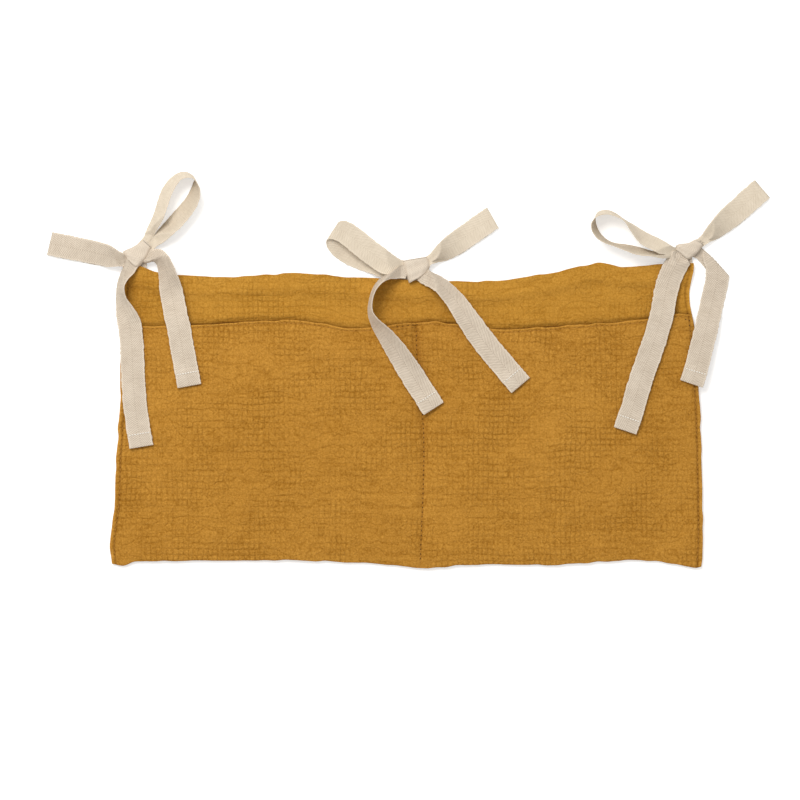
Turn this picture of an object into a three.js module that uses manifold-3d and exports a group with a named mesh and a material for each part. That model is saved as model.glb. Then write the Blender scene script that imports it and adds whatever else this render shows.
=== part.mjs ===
// Crib organizer: a double-gauze cotton panel with two pockets, hung by three bows of cotton twill tape.
// It lies on its back as on a table: +X to its right, +Y towards its top edge, +Z up through the front.
// The origin is the middle of the panel's underside. All sizes are millimetres.

import * as THREE from 'three';
import { mergeVertices } from 'three/addons/utils/BufferGeometryUtils.js';
import Module from 'manifold-3d';

const wasm = await Module();
wasm.setup();

// Driving dimensions of the cloth
const panelWidth = 500; // at the bottom edge
const panelHeight = 246;
const headerHeight = 45; // bare strip above the pocket mouths
const seamShift = 12; // the dividing seam lies this far to the right of the middle
const plyThickness = 0.8; // one ply of double gauze
const pocketThickness = 1.6; // the pocket cloth is doubled, with its fold at the mouth
const pocketGape = 9; // how far the middle of a mouth stands off the panel
const pocketRelax = 0.45; // exponent of the bulge across a pocket: smaller is fuller
const mouthRelax = 0.8; // exponent of the bulge from a pocket's bottom up to its mouth
const layerGap = 0.3; // clearance between layers that touch
const edgeWaveHeight = 1.2; // how far the free edges lift off the table
const edgeWaveLength = 118;
const edgeWaveReach = 34; // the lift dies out this far in from the edge
const seamDepth = 12; // turned-in seam allowance along the top edge
const seamTaper = 9; // run over which the front ply comes down behind that allowance

// Driving dimensions of the tape and the thread
const tapeWidth = 20;
const tapeThickness = 0.7;
const hemLength = 12; // folded hem at the end of each tail
const hingeGap = 0.3; // clearance between the knot's stub and the loose run of a tape
const knotHeight = 5.6;
const knotBevel = 1.4;
const rootLength = 9; // how far a tie's doubled legs reach down between the plies
const legPlay = 0.5; // room round the legs in the top seam for the waves of the cloth
const threadDiameter = 0.6;
const sideStitchInset = 3.8;
const mouthStitchInset = 2.1;
const tackLength = 10; // each leg of the small triangles that hold the mouth corners
const tackWidth = 3.4;
const tackPlay = 0.9; // room between a corner tack and the side thread that goes on below it
const centreTackLength = 20;
const hemStitchInset = 1.5; // the row across a tail's hem lies this far in from the hem's inner fold
const selvedgeInset = 1; // and stops this far from the tape's edges

// Driving dimensions of the knots: how far a knot's middle lies in from the panel's side, or to the right of
// the panel's middle, and how far above the top edge
const leftKnotInset = 25;
const leftKnotRise = 17.5;
const centreKnotShift = 9;
const centreKnotRise = 4.5;
const rightKnotInset = 9.5;
const rightKnotRise = 20;

// Sizes that follow from those above
const halfTape = tapeWidth / 2;
const twentieth = tapeWidth / 20; // the bows are laid out in twentieths of the tape's width
const rootThickness = 2 * tapeThickness;
const seamBulk = rootThickness + layerGap + legPlay;
const liningTop = plyThickness;
const halfHeight = panelHeight / 2;
const halfWidth = panelWidth / 2;
const mouthHeight = halfHeight - headerHeight;

// Colours and finishes
const mustard = new THREE.MeshStandardMaterial({ color: 0xba8432, roughness: 0.95, metalness: 0 });
const mustardBack = new THREE.MeshStandardMaterial({ color: 0xb07b2d, roughness: 0.95, metalness: 0 });
const mustardPocket = new THREE.MeshStandardMaterial({ color: 0xc08a36, roughness: 0.95, metalness: 0 });
const creamTape = new THREE.MeshStandardMaterial({ color: 0xe2d5c3, roughness: 0.85, metalness: 0 });
const mustardThread = new THREE.MeshStandardMaterial({ color: 0x8f6420, roughness: 0.7, metalness: 0 });
const creamThread = new THREE.MeshStandardMaterial({ color: 0xefe6d6, roughness: 0.7, metalness: 0 });

// The panel's soft outline: each edge is a smooth curve through [share of the way along it, offset in mm].
// Shares run from -1 to 1, to the right or upwards, and offsets are to the right or upwards too.
const topWave = [
  [-1, 5.5], [-0.95, 5], [-0.87, -1], [-0.65, -4], [-0.5, -2], [-0.38, -1.5], [-0.23, -4.5], [0.02, -7],
  [0.28, -8], [0.41, -4], [0.51, 0], [0.62, 6], [0.68, 7.5], [0.75, 3.5], [0.86, 6], [1, 7.5],
];
const bottomWave = [
  [-1, -0.5], [-0.96, -1.8], [-0.92, 1], [-0.8, 2], [-0.46, 2.5], [-0.18, 0], [0.03, -4], [0.16, -1.5],
  [0.48, -1.5], [0.69, 2], [0.83, 1.5], [0.97, -3.5], [1, -2.5],
];
const mouthWave = [
  [-1, -0.8], [-0.8, -0.8], [-0.53, 3.5], [-0.38, 3], [-0.2, -3], [0.03, 3], [0.13, 1], [0.28, -4],
  [0.44, -2.5], [0.64, 1], [0.81, 4], [0.9, 8.5], [1, 9],
];
const leftWave = [[-1, 1], [-0.85, 0], [-0.61, 4], [-0.28, 5.5], [0.08, 8.5], [0.38, 9], [1, 11.5]];
const rightWave = [[-1, -0.5], [-0.8, 0.5], [-0.02, -1.5], [0.65, -7], [0.85, -10.5], [1, -7]];
const seamWave = [[-1, 0], [-0.15, 3], [0.46, -3], [1, -3]];

// A smooth curve through points with a rising first value, read at any first value
function curveThrough(points, at) {
  const last = points.length - 1;
  if (at <= points[0][0]) return points[0][1];
  if (at >= points[last][0]) return points[last][1];
  let i = 0;
  while (points[i + 1][0] < at) i += 1;
  const slope = (j) => {
    const a = points[Math.max(j - 1, 0)];
    const b = points[Math.min(j + 1, last)];
    return (b[1] - a[1]) / (b[0] - a[0]);
  };
  const [x0, y0] = points[i];
  const [x1, y1] = points[i + 1];
  const span = x1 - x0;
  const t = (at - x0) / span;
  const rise = slope(i) * span * (t ** 3 - 2 * t ** 2 + t) + slope(i + 1) * span * (t ** 3 - t ** 2);
  return y0 * (1 + 2 * t) * (1 - t) ** 2 + y1 * t * t * (3 - 2 * t) + rise;
}

const smooth = (t) => {
  const c = Math.min(Math.max(t, 0), 1);
  return c * c * (3 - 2 * c);
};
const mix = (a, b, t) => a + (b - a) * t;

// Edges of the panel. u runs from -1 at the left edge through 0 at the dividing seam to 1 at the right edge.
const leftEdge = (y) => -halfWidth + curveThrough(leftWave, y / halfHeight);
const rightEdge = (y) => halfWidth + curveThrough(rightWave, y / halfHeight);
const seamLine = (y) => seamShift + curveThrough(seamWave, y / halfHeight);
const topEdge = (u) => halfHeight + curveThrough(topWave, u);
const bottomEdge = (u) => -halfHeight + curveThrough(bottomWave, u);
const mouthEdge = (u) => mouthHeight + curveThrough(mouthWave, u);

function across(u, y) {
  if (u < 0) return mix(seamLine(y), leftEdge(y), -u);
  return mix(seamLine(y), rightEdge(y), u);
}

function shareAcross(x, y) {
  const seam = seamLine(y);
  if (x < seam) return (x - seam) / (seam - leftEdge(y));
  return (x - seam) / (rightEdge(y) - seam);
}

// How far the whole cloth lifts off the table: soft waves along its edges, nothing in the middle
function edgeLift(x, y, u) {
  const toSide = Math.min(x - leftEdge(y), rightEdge(y) - x);
  const toEnd = Math.min(y - bottomEdge(u), topEdge(u) - y);
  const inward = Math.min(toSide, toEnd);
  const along = toSide < toEnd ? y : x;
  const wave = 0.5 + 0.5 * Math.sin((2 * Math.PI * along) / edgeWaveLength);
  return edgeWaveHeight * wave * smooth(1 - inward / edgeWaveReach);
}

// Underside of the front ply: it runs close over the back ply and rises over the seam allowance at the top
function facingUnderside(x, y, u) {
  const below = topEdge(u) - y - seamDepth;
  return edgeLift(x, y, u) + liningTop + layerGap + seamBulk * smooth(1 - below / seamTaper);
}

// How far the pocket cloth stands off the front ply, nothing along its seams and most at the mouth
function pocketBulge(u, y) {
  const depth = (y - bottomEdge(u)) / (mouthEdge(u) - bottomEdge(u));
  const share = Math.abs(u);
  const fullness = Math.max(4 * share * (1 - share), 0) ** pocketRelax;
  return pocketGape * fullness * Math.sin((Math.PI / 2) * Math.min(Math.max(depth, 0), 1)) ** mouthRelax;
}

const pocketUnderside = (x, y, u) => facingUnderside(x, y, u) + plyThickness + layerGap + pocketBulge(u, y);

// Rows and columns that every layer of the panel shares, so that the layers stay parallel
const columnsPerPocket = 12;
const pocketRows = 9;
const headerRows = [0.3, 0.5];
const columns = [];
for (let i = -columnsPerPocket; i <= columnsPerPocket; i += 1) {
  const share = Math.abs(i) / columnsPerPocket;
  columns.push(Math.sign(i) * (0.5 - 0.5 * Math.cos(Math.PI * share)));
}

function pocketHeights(u) {
  const heights = [];
  for (let j = 0; j <= pocketRows; j += 1) heights.push(mix(bottomEdge(u), mouthEdge(u), j / pocketRows));
  return heights;
}

function panelHeights(u) {
  const heights = pocketHeights(u);
  const taperStart = topEdge(u) - seamDepth - seamTaper;
  for (const share of headerRows) heights.push(mix(mouthEdge(u), taperStart, share));
  heights.push(taperStart, topEdge(u) - seamDepth, topEdge(u));
  return heights;
}

// A closed shell between two surfaces given on one grid of [upper, lower] points
function gridSolid(grid) {
  const rows = grid.length;
  const cols = grid[0].length;
  const positions = [];
  for (const side of ['upper', 'lower']) {
    for (const row of grid) for (const cell of row) positions.push(...cell[side]);
  }
  const upper = (i, j) => i * cols + j;
  const lower = (i, j) => rows * cols + upper(i, j);
  const faces = [];
  const quad = (a, b, c, d) => faces.push(a, b, c, a, c, d);
  for (let i = 0; i < rows - 1; i += 1) {
    for (let j = 0; j < cols - 1; j += 1) {
      quad(upper(i, j), upper(i, j + 1), upper(i + 1, j + 1), upper(i + 1, j));
      quad(lower(i, j), lower(i + 1, j), lower(i + 1, j + 1), lower(i, j + 1));
    }
  }
  for (let j = 0; j < cols - 1; j += 1) {
    quad(upper(0, j), lower(0, j), lower(0, j + 1), upper(0, j + 1));
    quad(upper(rows - 1, j), upper(rows - 1, j + 1), lower(rows - 1, j + 1), lower(rows - 1, j));
  }
  for (let i = 0; i < rows - 1; i += 1) {
    quad(upper(i, 0), upper(i + 1, 0), lower(i + 1, 0), lower(i, 0));
    quad(upper(i, cols - 1), lower(i, cols - 1), lower(i + 1, cols - 1), upper(i + 1, cols - 1));
  }
  const geometry = new THREE.BufferGeometry();
  geometry.setAttribute('position', new THREE.Float32BufferAttribute(positions, 3));
  geometry.setIndex(faces);
  return geometry;
}

// One layer of cloth: its rows, the height of its underside and its thickness
function clothGrid(heightsAt, underside, thickness) {
  return heightsAt(0).map((_, j) => columns.map((u) => {
    const y = heightsAt(u)[j];
    const x = across(u, y);
    const z = underside(x, y, u);
    return { upper: [x, y, z + thickness], lower: [x, y, z] };
  }));
}

const liningGrid = clothGrid(panelHeights, edgeLift, plyThickness);
const facingGrid = clothGrid(panelHeights, facingUnderside, plyThickness);
const pocketGrid = clothGrid(pocketHeights, pocketUnderside, pocketThickness);

// Height of a layer's upper face at a place, read between its grid points; undefined beside the layer
function layerTop(grid, x, y) {
  const u = shareAcross(x, y);
  if (Math.abs(u) > 1) return undefined;
  const k = Math.max(columns.findIndex((column) => column >= u) - 1, 0);
  const s = (u - columns[k]) / (columns[k + 1] - columns[k]);
  const between = (j, i) => mix(grid[j][k].upper[i], grid[j][k + 1].upper[i], s);
  if (y < between(0, 1) || y > between(grid.length - 1, 1)) return undefined;
  let j = 0;
  while (between(j + 1, 1) < y) j += 1;
  return mix(between(j, 2), between(j + 1, 2), (y - between(j, 1)) / (between(j + 1, 1) - between(j, 1)));
}

// Height of whatever cloth a thread would rest on at a place
const clothTop = (x, y) => layerTop(pocketGrid, x, y) ?? layerTop(facingGrid, x, y) ?? 0;

const organizer = new THREE.Group();

function add(name, geometry, material) {
  const mesh = new THREE.Mesh(geometry, material);
  mesh.name = name;
  organizer.add(mesh);
}

add('back_lining', gridSolid(liningGrid), mustardBack);
add('front_facing', gridSolid(facingGrid), mustard);
add('pocket_cloth', gridSolid(pocketGrid), mustardPocket);

// A bar of rectangular section swept through stations. Each has a centre point and the direction of its
// width, and may have an extra thickness below it, as a folded hem has.
function sweep(stations, width, thickness) {
  const grid = stations.map((station, i) => {
    const before = stations[Math.max(i - 1, 0)].point;
    const after = stations[Math.min(i + 1, stations.length - 1)].point;
    const tangent = after.clone().sub(before).normalize();
    const side = station.axis;
    const face = tangent.clone().cross(side).normalize();
    const extra = station.extra ?? 0;
    const corner = (aside, through) => station.point.clone().addScaledVector(side, aside * width / 2)
      .addScaledVector(face, through).toArray();
    const up = thickness / 2;
    const down = -thickness / 2 - extra;
    return [1, -1].map((aside) => ({ upper: corner(aside, up), lower: corner(aside, down) }));
  });
  return gridSolid(grid);
}

const upright = new THREE.Vector3(0, 0, 1);

// Sewing thread: a thin bar along points that lie on the cloth
function threadAlong(points) {
  return sweep(points.map((point) => ({ point, axis: upright })), threadDiameter, threadDiameter);
}

// A point of a thread that lies on the pocket cloth, clear of the cloth to each side of the thread
function onPocket(x, y) {
  const around = [[0, 0], [1, 0], [-1, 0], [0, 1], [0, -1]];
  const heights = around.map(([dx, dy]) => clothTop(x + dx * threadDiameter, y + dy * threadDiameter));
  return new THREE.Vector3(x, y, Math.max(...heights) + layerGap + threadDiameter / 2);
}

const steps = (count) => Array.from({ length: count + 1 }, (_, i) => i / count);
const centreSeamPoints = steps(pocketRows).map((t) => {
  const y = mix(mouthEdge(0) - 2 * mouthStitchInset - tackWidth, bottomEdge(0) + sideStitchInset, t);
  return onPocket(seamLine(y), y);
});
add('centre_seam_thread', threadAlong(centreSeamPoints), mustardThread);

for (const [name, sign, edge] of [['left', -1, leftEdge], ['right', 1, rightEdge]]) {
  const top = mouthEdge(sign) - 2 * mouthStitchInset - tackLength;
  const points = steps(pocketRows).map((t) => {
    const y = mix(top, bottomEdge(sign) + sideStitchInset, t);
    return onPocket(edge(y) - sign * sideStitchInset, y);
  });
  add(`${name}_side_thread`, threadAlong(points), mustardThread);

  const corner = new THREE.Vector2(edge(top) - sign * sideStitchInset, mouthEdge(sign) - 2 * mouthStitchInset);
  const tack = [[-tackWidth * sign, 0], [0, 0], [0, tackPlay - tackLength]];
  const tackPoints = tack.map(([x, y]) => onPocket(corner.x + x, corner.y + y));
  add(`${name}_corner_tack`, threadAlong(tackPoints), mustardThread);
}

const mouthPoints = columns.slice(1, -1).map((u) => {
  const y = mouthEdge(u) - mouthStitchInset;
  return onPocket(across(u, y), y);
});
add('mouth_stitch_thread', threadAlong(mouthPoints), mustardThread);

const centreTackPoints = steps(pocketRows).map((t) => {
  const x = seamLine(mouthHeight) + mix(-centreTackLength, 0, t);
  return onPocket(x, mouthEdge(shareAcross(x, mouthHeight)) - 2 * mouthStitchInset);
});
add('centre_mouth_tack', threadAlong(centreTackPoints), mustardThread);

// The three ties. knot is a knot's middle in millimetres, and the rest is in twentieths of the tape's width.
// wrap is the outline of the band round the knot, and legs is how far its sewn legs lie to the right of it.
// A route has [x, y, rise, tilt, lean] from the knot's middle: rise lifts the tape off what it lies on, tilt
// turns its width up from flat and lean is the bearing of its upper edge. A tail's lean follows its route.
// hinge is where the loose run starts, and bearing is the way that it lies.
const ties = [
  {
    name: 'left',
    knot: [-halfWidth + leftKnotInset, halfHeight + leftKnotRise],
    legs: 0,
    wrap: [
      [4.6, 9.5], [10.4, 3.8], [7, -4.2], [1.1, -11.8], [-1.9, -13.9], [-9.9, -7.1], [-12.8, -0.8], [-5.7, 3],
    ],
    tapes: [
      {
        name: 'open_loop',
        hinge: [11.2, 12.7],
        bearing: 56,
        route: [
          [2, 2.5, 0.3, 8, -34], [7.5, 9, 0, 50, -32], [12, 19.5, 0, 64, -28], [16.8, 30, 0, 58, -26],
          [20.2, 40.5, 0, 57, -26], [24, 50.2, 0, 58, -30], [28.6, 57.4, 0, 61, -40], [33.6, 62.2, 0, 66, -55],
          [39.1, 64, 0, 70, -68], [44.4, 62.8, 0, 76, -66], [47.6, 59.8, 0, 78, -55], [48.4, 55, 0, 65, -38],
          [47.4, 48.6, 0, 56, -30], [44, 41, 0, 49, -32], [39, 34, 0, 46, -36], [33.2, 27.2, 0, 45, -40],
          [27, 20.6, 0, 47, -44], [19.6, 14.2, 0, 53, -45], [12, 7.8, 0, 48, -42], [3.5, 1, 0.3, 8, -38],
        ],
      },
      {
        name: 'flat_loop',
        hinge: [-16.2, -7],
        bearing: 167,
        route: [
          [-4, -5, 2.2, 30, 88], [-14.5, -7.3, 2, 43, 88], [-27, -4, 1.6, 24, 84], [-42, -0.5, 1.6, 12, 80],
          [-59, 3, 1.8, 0, 78], [-72, 5.6, 2.2, 0, 77], [-75.6, 6.4, 1.2, 0, 77], [-72, 5.6, 0.1, 0, 77],
          [-59, 3, 0, 0, 78], [-42, -0.5, 0, 12, 80], [-27, -4, 0, 24, 84], [-14.5, -7.3, 0, 43, 88],
          [-4, -5, 0.4, 30, 88],
        ],
      },
      {
        name: 'tail_a',
        hinge: [-12, -17],
        bearing: -84.4,
        route: [
          [-2, -3, 1.6, 0], [-6, -9, 1, 34], [-9.2, -15.5, 0.4, 54], [-12.6, -22.5, 0, 65],
          [-14.9, -31, 0, 67], [-14.6, -41, 0, 60], [-10.8, -53, 0, 30], [-7.6, -63, 0, 6], [-6, -77.5, 0, 0],
          [-5, -101, 0, 0], [-3.5, -125, 0, 0], [-1, -145.5, 0, 0], [2.2, -164.5, 0, 0],
        ],
      },
      {
        name: 'tail_b',
        hinge: [23.4, -17.5],
        bearing: -78.8,
        route: [
          [1, -2, 0, 0], [6.4, -5.6, 1, 25], [12.5, -4.6, 2.2, 48], [18.3, -6.6, 2, 50], [22.3, -13, 0.8, 46],
          [24.6, -22, 0, 34], [27, -33, 0, 12], [30.5, -51, 0, 0], [34, -66, 0, 0], [37, -83.5, 0, 0],
          [40.5, -101, 0, 0], [42.7, -113.3, 0, 0],
        ],
      },
    ],
  },
  {
    name: 'centre',
    knot: [centreKnotShift, halfHeight + centreKnotRise],
    legs: -6.5,
    wrap: [[-12, 4.8], [8.7, 8.2], [11, 3], [9.8, -2.5], [2, -7.4], [-6.1, -11.8], [-9, -4]],
    tapes: [
      {
        name: 'open_loop',
        hinge: [-28, 0.4],
        bearing: 147.4,
        route: [
          [-5, 1.5, 3.2, 0, 62], [-13, 0, 5.4, 10, 58], [-22.5, 0.8, 8, 14, 54], [-33, 7.4, 9.4, 12, 50],
          [-42.8, 14.5, 10.2, 10, 49], [-50.9, 21.3, 10.6, 11, 50], [-60, 28, 10, 16, 53],
          [-66.5, 30.4, 8.6, 20, 55], [-70.8, 29.3, 5.6, 23, 56], [-70.6, 24.6, 2, 20, 55],
          [-66, 18.4, 0.6, 14, 53], [-59.5, 13.3, 0, 8, 51], [-52.6, 9.2, 0, 5, 50], [-42.8, 5.2, 0, 3, 50],
          [-33.2, 2, 0, 3, 51], [-23, -1.6, 0, 3, 53], [-13, -3, 0.3, 0, 58], [-5, -2, 0.6, 0, 62],
        ],
      },
      {
        name: 'flat_loop',
        hinge: [15, 7],
        bearing: 34,
        route: [
          [3, 1.5, 2.4, 10, 122], [10, 4.8, 2.2, 58, 122], [18, 9.4, 1.8, 50, 122],
          [27.5, 15.5, 1.6, 28, 122], [35.5, 21, 1.6, 12, 122], [46, 28.5, 1.8, 0, 121],
          [61, 39, 2.2, 0, 120], [64.4, 41.3, 1.2, 0, 120], [61, 39, 0.1, 0, 120], [46, 28.5, 0, 0, 121],
          [35.5, 21, 0, 12, 122], [27.5, 15.5, 0, 28, 122], [18, 9.4, 0, 50, 122], [10, 4.8, 0, 58, 122],
          [3, 1.5, 0.4, 10, 122],
        ],
      },
      {
        name: 'tail_a',
        hinge: [-38, -27],
        bearing: -58.5,
        route: [
          [-3, -3, 3.4, 20], [-9, -2.2, 4, 52], [-15.5, -3, 3, 72], [-21.5, -5.5, 1.6, 76],
          [-28.5, -11, 0.6, 77], [-35, -18.5, 0, 80], [-38.5, -28.5, 0, 82], [-39, -39, 0, 79],
          [-35.5, -47, 0, 70], [-29.5, -55, 0, 54], [-21.5, -65.5, 0, 38], [-10.5, -81.5, 0, 18],
          [0.5, -98.5, 0, 2], [14, -119.5, 0, 0],
        ],
      },
      {
        name: 'tail_b',
        hinge: [20.5, -16.5],
        bearing: -51.6,
        route: [
          [2, -4, 0, 0], [8.5, -8.5, 0.4, -36], [16.5, -13.2, 0.4, -48], [24, -19.5, 0, -44],
          [33.5, -30.5, 0, -32], [42.5, -44, 0, -20], [54.5, -61, 0, -4], [64.5, -73.5, 0, 0],
          [76, -87, 0, 0], [87, -100, 0, 0],
        ],
      },
    ],
  },
  {
    name: 'right',
    knot: [halfWidth - rightKnotInset, halfHeight + rightKnotRise],
    legs: -9,
    wrap: [[-12, 2.2], [-2.2, 4.1], [4.3, 7.1], [10.4, 3.3], [6.5, -2.5], [1.3, -7.3], [-3, -9.8], [-13, -1.5]],
    tapes: [
      {
        name: 'open_loop',
        hinge: [-25.5, -2.8],
        bearing: 158.9,
        route: [
          [-5, 0, 3.2, 6, -110], [-13, -1.2, 2.4, 40, -112], [-23, 0.2, 1, 50, -118], [-32, 4, 0, 52, -122],
          [-40, 8, 0, 54, -124], [-49.5, 16.5, 0, 68, -126], [-56.5, 23, 0, 82, -126],
          [-63, 27.2, 0, 80, -110], [-69, 29.6, 0, 77, -95], [-75, 29.6, 0, 77, -92], [-80, 27.4, 0, 76, -112],
          [-82.6, 22.3, 0, 73, -136], [-81.9, 16.3, 0, 71, -146], [-78.4, 10.3, 0, 72, -132],
          [-72.4, 5.6, 0, 76, -112], [-64.5, 2.4, 0, 78, -97], [-56, 0.2, 0, 72, -94], [-48, -2, 0, 68, -96],
          [-40, -3.8, 0, 70, -98], [-32, -5.4, 0, 74, -98], [-22.5, -6.6, 0, 70, -100],
          [-13, -5.6, 0, 44, -104], [-5, -3, 0.4, 6, -110],
        ],
      },
      {
        name: 'flat_loop',
        hinge: [12, 7.2],
        bearing: 40.8,
        route: [
          [2, 1, 2.4, 14, 130], [7.5, 4.5, 2.2, 62, 130], [15, 10.5, 1.8, 54, 130], [25, 19.2, 1.6, 32, 131],
          [37.5, 30, 1.6, 8, 131], [48.5, 39.8, 1.8, 0, 131], [57, 47.2, 2.2, 0, 131],
          [60.2, 50, 1.2, 0, 131], [57, 47.2, 0.1, 0, 131], [48.5, 39.8, 0, 0, 131], [37.5, 30, 0, 8, 131],
          [25, 19.2, 0, 32, 131], [15, 10.5, 0, 54, 130], [7.5, 4.5, 0, 62, 130], [2, 1, 0.4, 14, 130],
        ],
      },
      {
        name: 'tail_a',
        hinge: [-15.6, -20.5],
        bearing: -107,
        route: [
          [-3, -1, 2.6, 0], [-9, -8.5, 3, 0], [-14.5, -17.5, 1.6, 0], [-19, -28, 0.4, 0],
          [-21.5, -37.5, 0, 0], [-25.5, -57, 0, 0], [-31, -76.5, 0, 0], [-37, -94, 0, 0], [-43.5, -113, 0, 0],
          [-49, -132.5, 0, 0], [-56, -153.5, 0, 0],
        ],
      },
      {
        name: 'tail_b',
        hinge: [21.6, -22.5],
        bearing: -104,
        route: [
          [1, -1, 0, 40], [6, -3.4, 1.4, 124], [12, -7, 2.4, 112], [17, -11.5, 2.2, 74],
          [20, -17, 1.2, 50], [21.6, -23.4, 0.3, 30], [21.3, -31, 0, 16], [19.6, -40, 0, 4],
          [17.2, -49.5, 0, 0], [14, -62, 0, 0], [10.5, -76, 0, 0], [7, -89.5, 0, 0], [3.5, -103.5, 0, 0],
          [0, -114, 0, 0],
        ],
      },
    ],
  },
];

const degrees = Math.PI / 180;
const stationSpacing = 7;
const finePerPoint = 12; // a route is measured in this many short steps between two of its points
const widthShares = [-1, -0.5, 0, 0.5, 1]; // places across a tape where its support is looked for
const aheadShares = [-1.1, -0.5, 0, 0.5, 1.1]; // and along it, in station spacings
const legShares = [0.25, 0.5, 0.75, 1]; // places of a leg's stations from the top edge to the knot
const wrapShares = [0.2, 0.4, 0.6, 0.8, 1]; // places from a knot's middle out to its outline, for the same
const climb = 0.4; // the steepest that a tape rises to a layer of cloth, so that it bridges a step
const overrun = 1; // a stub and a loose run are swept this many stations past their hinge, then cut there
const headedBy = (angle) => new THREE.Vector3(Math.cos(angle * degrees), Math.sin(angle * degrees), 0);

// The legs of a tie: a doubled tape that starts between the plies and ends under the knot
function legsOf(tie) {
  const [kx, ky] = tie.knot;
  const x = kx + tie.legs * twentieth;
  const edge = topEdge(shareAcross(x, halfHeight));
  const onTable = layerGap + rootThickness / 2;
  const liningAt = (y) => [-halfTape, 0, halfTape].map((side) => layerTop(liningGrid, x + side, y) ?? 0);
  const seamTop = (y) => Math.max(...liningAt(y));
  const inSeam = (y) => seamTop(y) + layerGap + rootThickness / 2;
  const inside = edge - tapeThickness;
  const lower = [edge - rootLength, edge - rootLength / 2, inside];
  const upper = legShares.map((share) => mix(edge, ky, share));
  const points = lower.map((y) => new THREE.Vector3(x, y, inSeam(y)));
  for (const y of upper) {
    points.push(new THREE.Vector3(x, y, mix(inSeam(inside), onTable, smooth((y - edge) / seamDepth))));
  }
  return points;
}

// Height that a tape rests on: the cloth with its thread, or the legs where they run out over the table
function restHeight(legs, x, y) {
  const threadRoom = layerTop(pocketGrid, x, y) === undefined ? 0 : threadDiameter + layerGap;
  let height = clothTop(x, y) + threadRoom;
  const i = legs.findIndex((point) => point.y >= y - layerGap);
  if (i > 0 && Math.abs(legs[i].x - x) < halfTape + layerGap) {
    height = Math.max(height, Math.max(legs[i - 1].z, legs[i].z) + rootThickness / 2);
  }
  return height;
}

// Stations of a tape every few millimetres along its route, each with its centre and its width's direction
function tapeStations(tie, tape, legs) {
  const isTail = tape.route[0].length === 4;
  const [kx, ky] = tie.knot;
  const route = tape.route.map(([x, y, rise]) => [x * twentieth, y * twentieth, rise * twentieth]);
  const places = new THREE.CatmullRomCurve3(route.map(([x, y, rise]) => new THREE.Vector3(x, y, rise)));
  const turns = new THREE.CatmullRomCurve3(tape.route.map((row) => new THREE.Vector3(row[3], row[4] ?? 0, 0)));
  const fine = steps(finePerPoint * (tape.route.length - 1)).map((t) => ({ t, place: places.getPoint(t) }));
  let length = 0;
  fine.forEach((entry, i) => {
    if (i > 0) length += entry.place.distanceTo(fine[i - 1].place);
    entry.length = length;
  });
  const wanted = steps(Math.round(length / stationSpacing)).map((t) => t * length);
  if (isTail) wanted.push(length - hemLength - layerGap, length - hemLength);
  wanted.sort((a, b) => a - b);
  const stations = wanted.map((distance) => {
    const i = Math.max(fine.findIndex((entry) => entry.length >= distance - 1e-6), 1);
    const [a, b] = [fine[i - 1], fine[i]];
    const t = mix(a.t, b.t, (distance - a.length) / (b.length - a.length));
    const place = places.getPoint(t);
    const turn = turns.getPoint(t);
    const along = places.getTangent(t).setZ(0).normalize();
    const level = isTail ? new THREE.Vector3(-along.y, along.x, 0) : headedBy(turn.y);
    const tilt = turn.x * degrees;
    const axis = level.clone().multiplyScalar(Math.cos(tilt)).setZ(Math.sin(tilt));
    const reach = Math.abs(Math.cos(tilt)) * halfTape;
    let rest = 0;
    for (const side of widthShares) {
      for (const ahead of aheadShares) {
        const x = kx + place.x + level.x * side * reach + along.x * ahead * stationSpacing;
        const y = ky + place.y + level.y * side * reach + along.y * ahead * stationSpacing;
        rest = Math.max(rest, restHeight(legs, x, y));
      }
    }
    const inHem = isTail && distance > length - hemLength - 1e-6;
    const nearHem = isTail && distance > length - 2 * hemLength;
    const extra = inHem ? tapeThickness : 0;
    const lift = (nearHem ? tapeThickness : 0) + Math.max(place.z, 0) + Math.abs(Math.sin(tilt)) * halfTape;
    return { point: new THREE.Vector3(kx + place.x, ky + place.y, 0), axis, extra, distance, rest, lift };
  });
  for (const station of stations) {
    const bridged = stations.map((other) => other.rest - climb * Math.abs(other.distance - station.distance));
    station.point.z = Math.max(...bridged) + layerGap + tapeThickness / 2 + station.lift;
  }
  return stations;
}

// Solids for joining and cutting
function solidOf(geometry) {
  const bare = new THREE.BufferGeometry();
  bare.setAttribute('position', geometry.getAttribute('position'));
  if (geometry.index) bare.setIndex(geometry.index);
  const merged = mergeVertices(bare, 1e-4);
  return new wasm.Manifold(new wasm.Mesh({
    numProp: 3,
    vertProperties: new Float32Array(merged.getAttribute('position').array),
    triVerts: new Uint32Array(merged.index.array),
  }));
}

// The outer skin of a solid, with the small hollows that crossed tapes shut in filled
function geometryOf(solid) {
  const outer = solid.decompose().reduce((a, b) => (a.volume() > b.volume() ? a : b));
  const mesh = outer.getMesh();
  const geometry = new THREE.BufferGeometry();
  geometry.setAttribute('position', new THREE.Float32BufferAttribute(mesh.vertProperties, 3));
  geometry.setIndex(Array.from(mesh.triVerts));
  return geometry;
}

// All of space on the far side of a hinge: a block whose near face stands across the way the tape lies
function beyond(x, y, bearing) {
  const size = 2 * panelWidth;
  const heading = headedBy(bearing);
  const block = new THREE.BoxGeometry(size, size, size);
  block.rotateZ(bearing * degrees);
  block.translate(x + (heading.x * size) / 2, y + (heading.y * size) / 2, 0);
  return solidOf(block);
}

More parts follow.
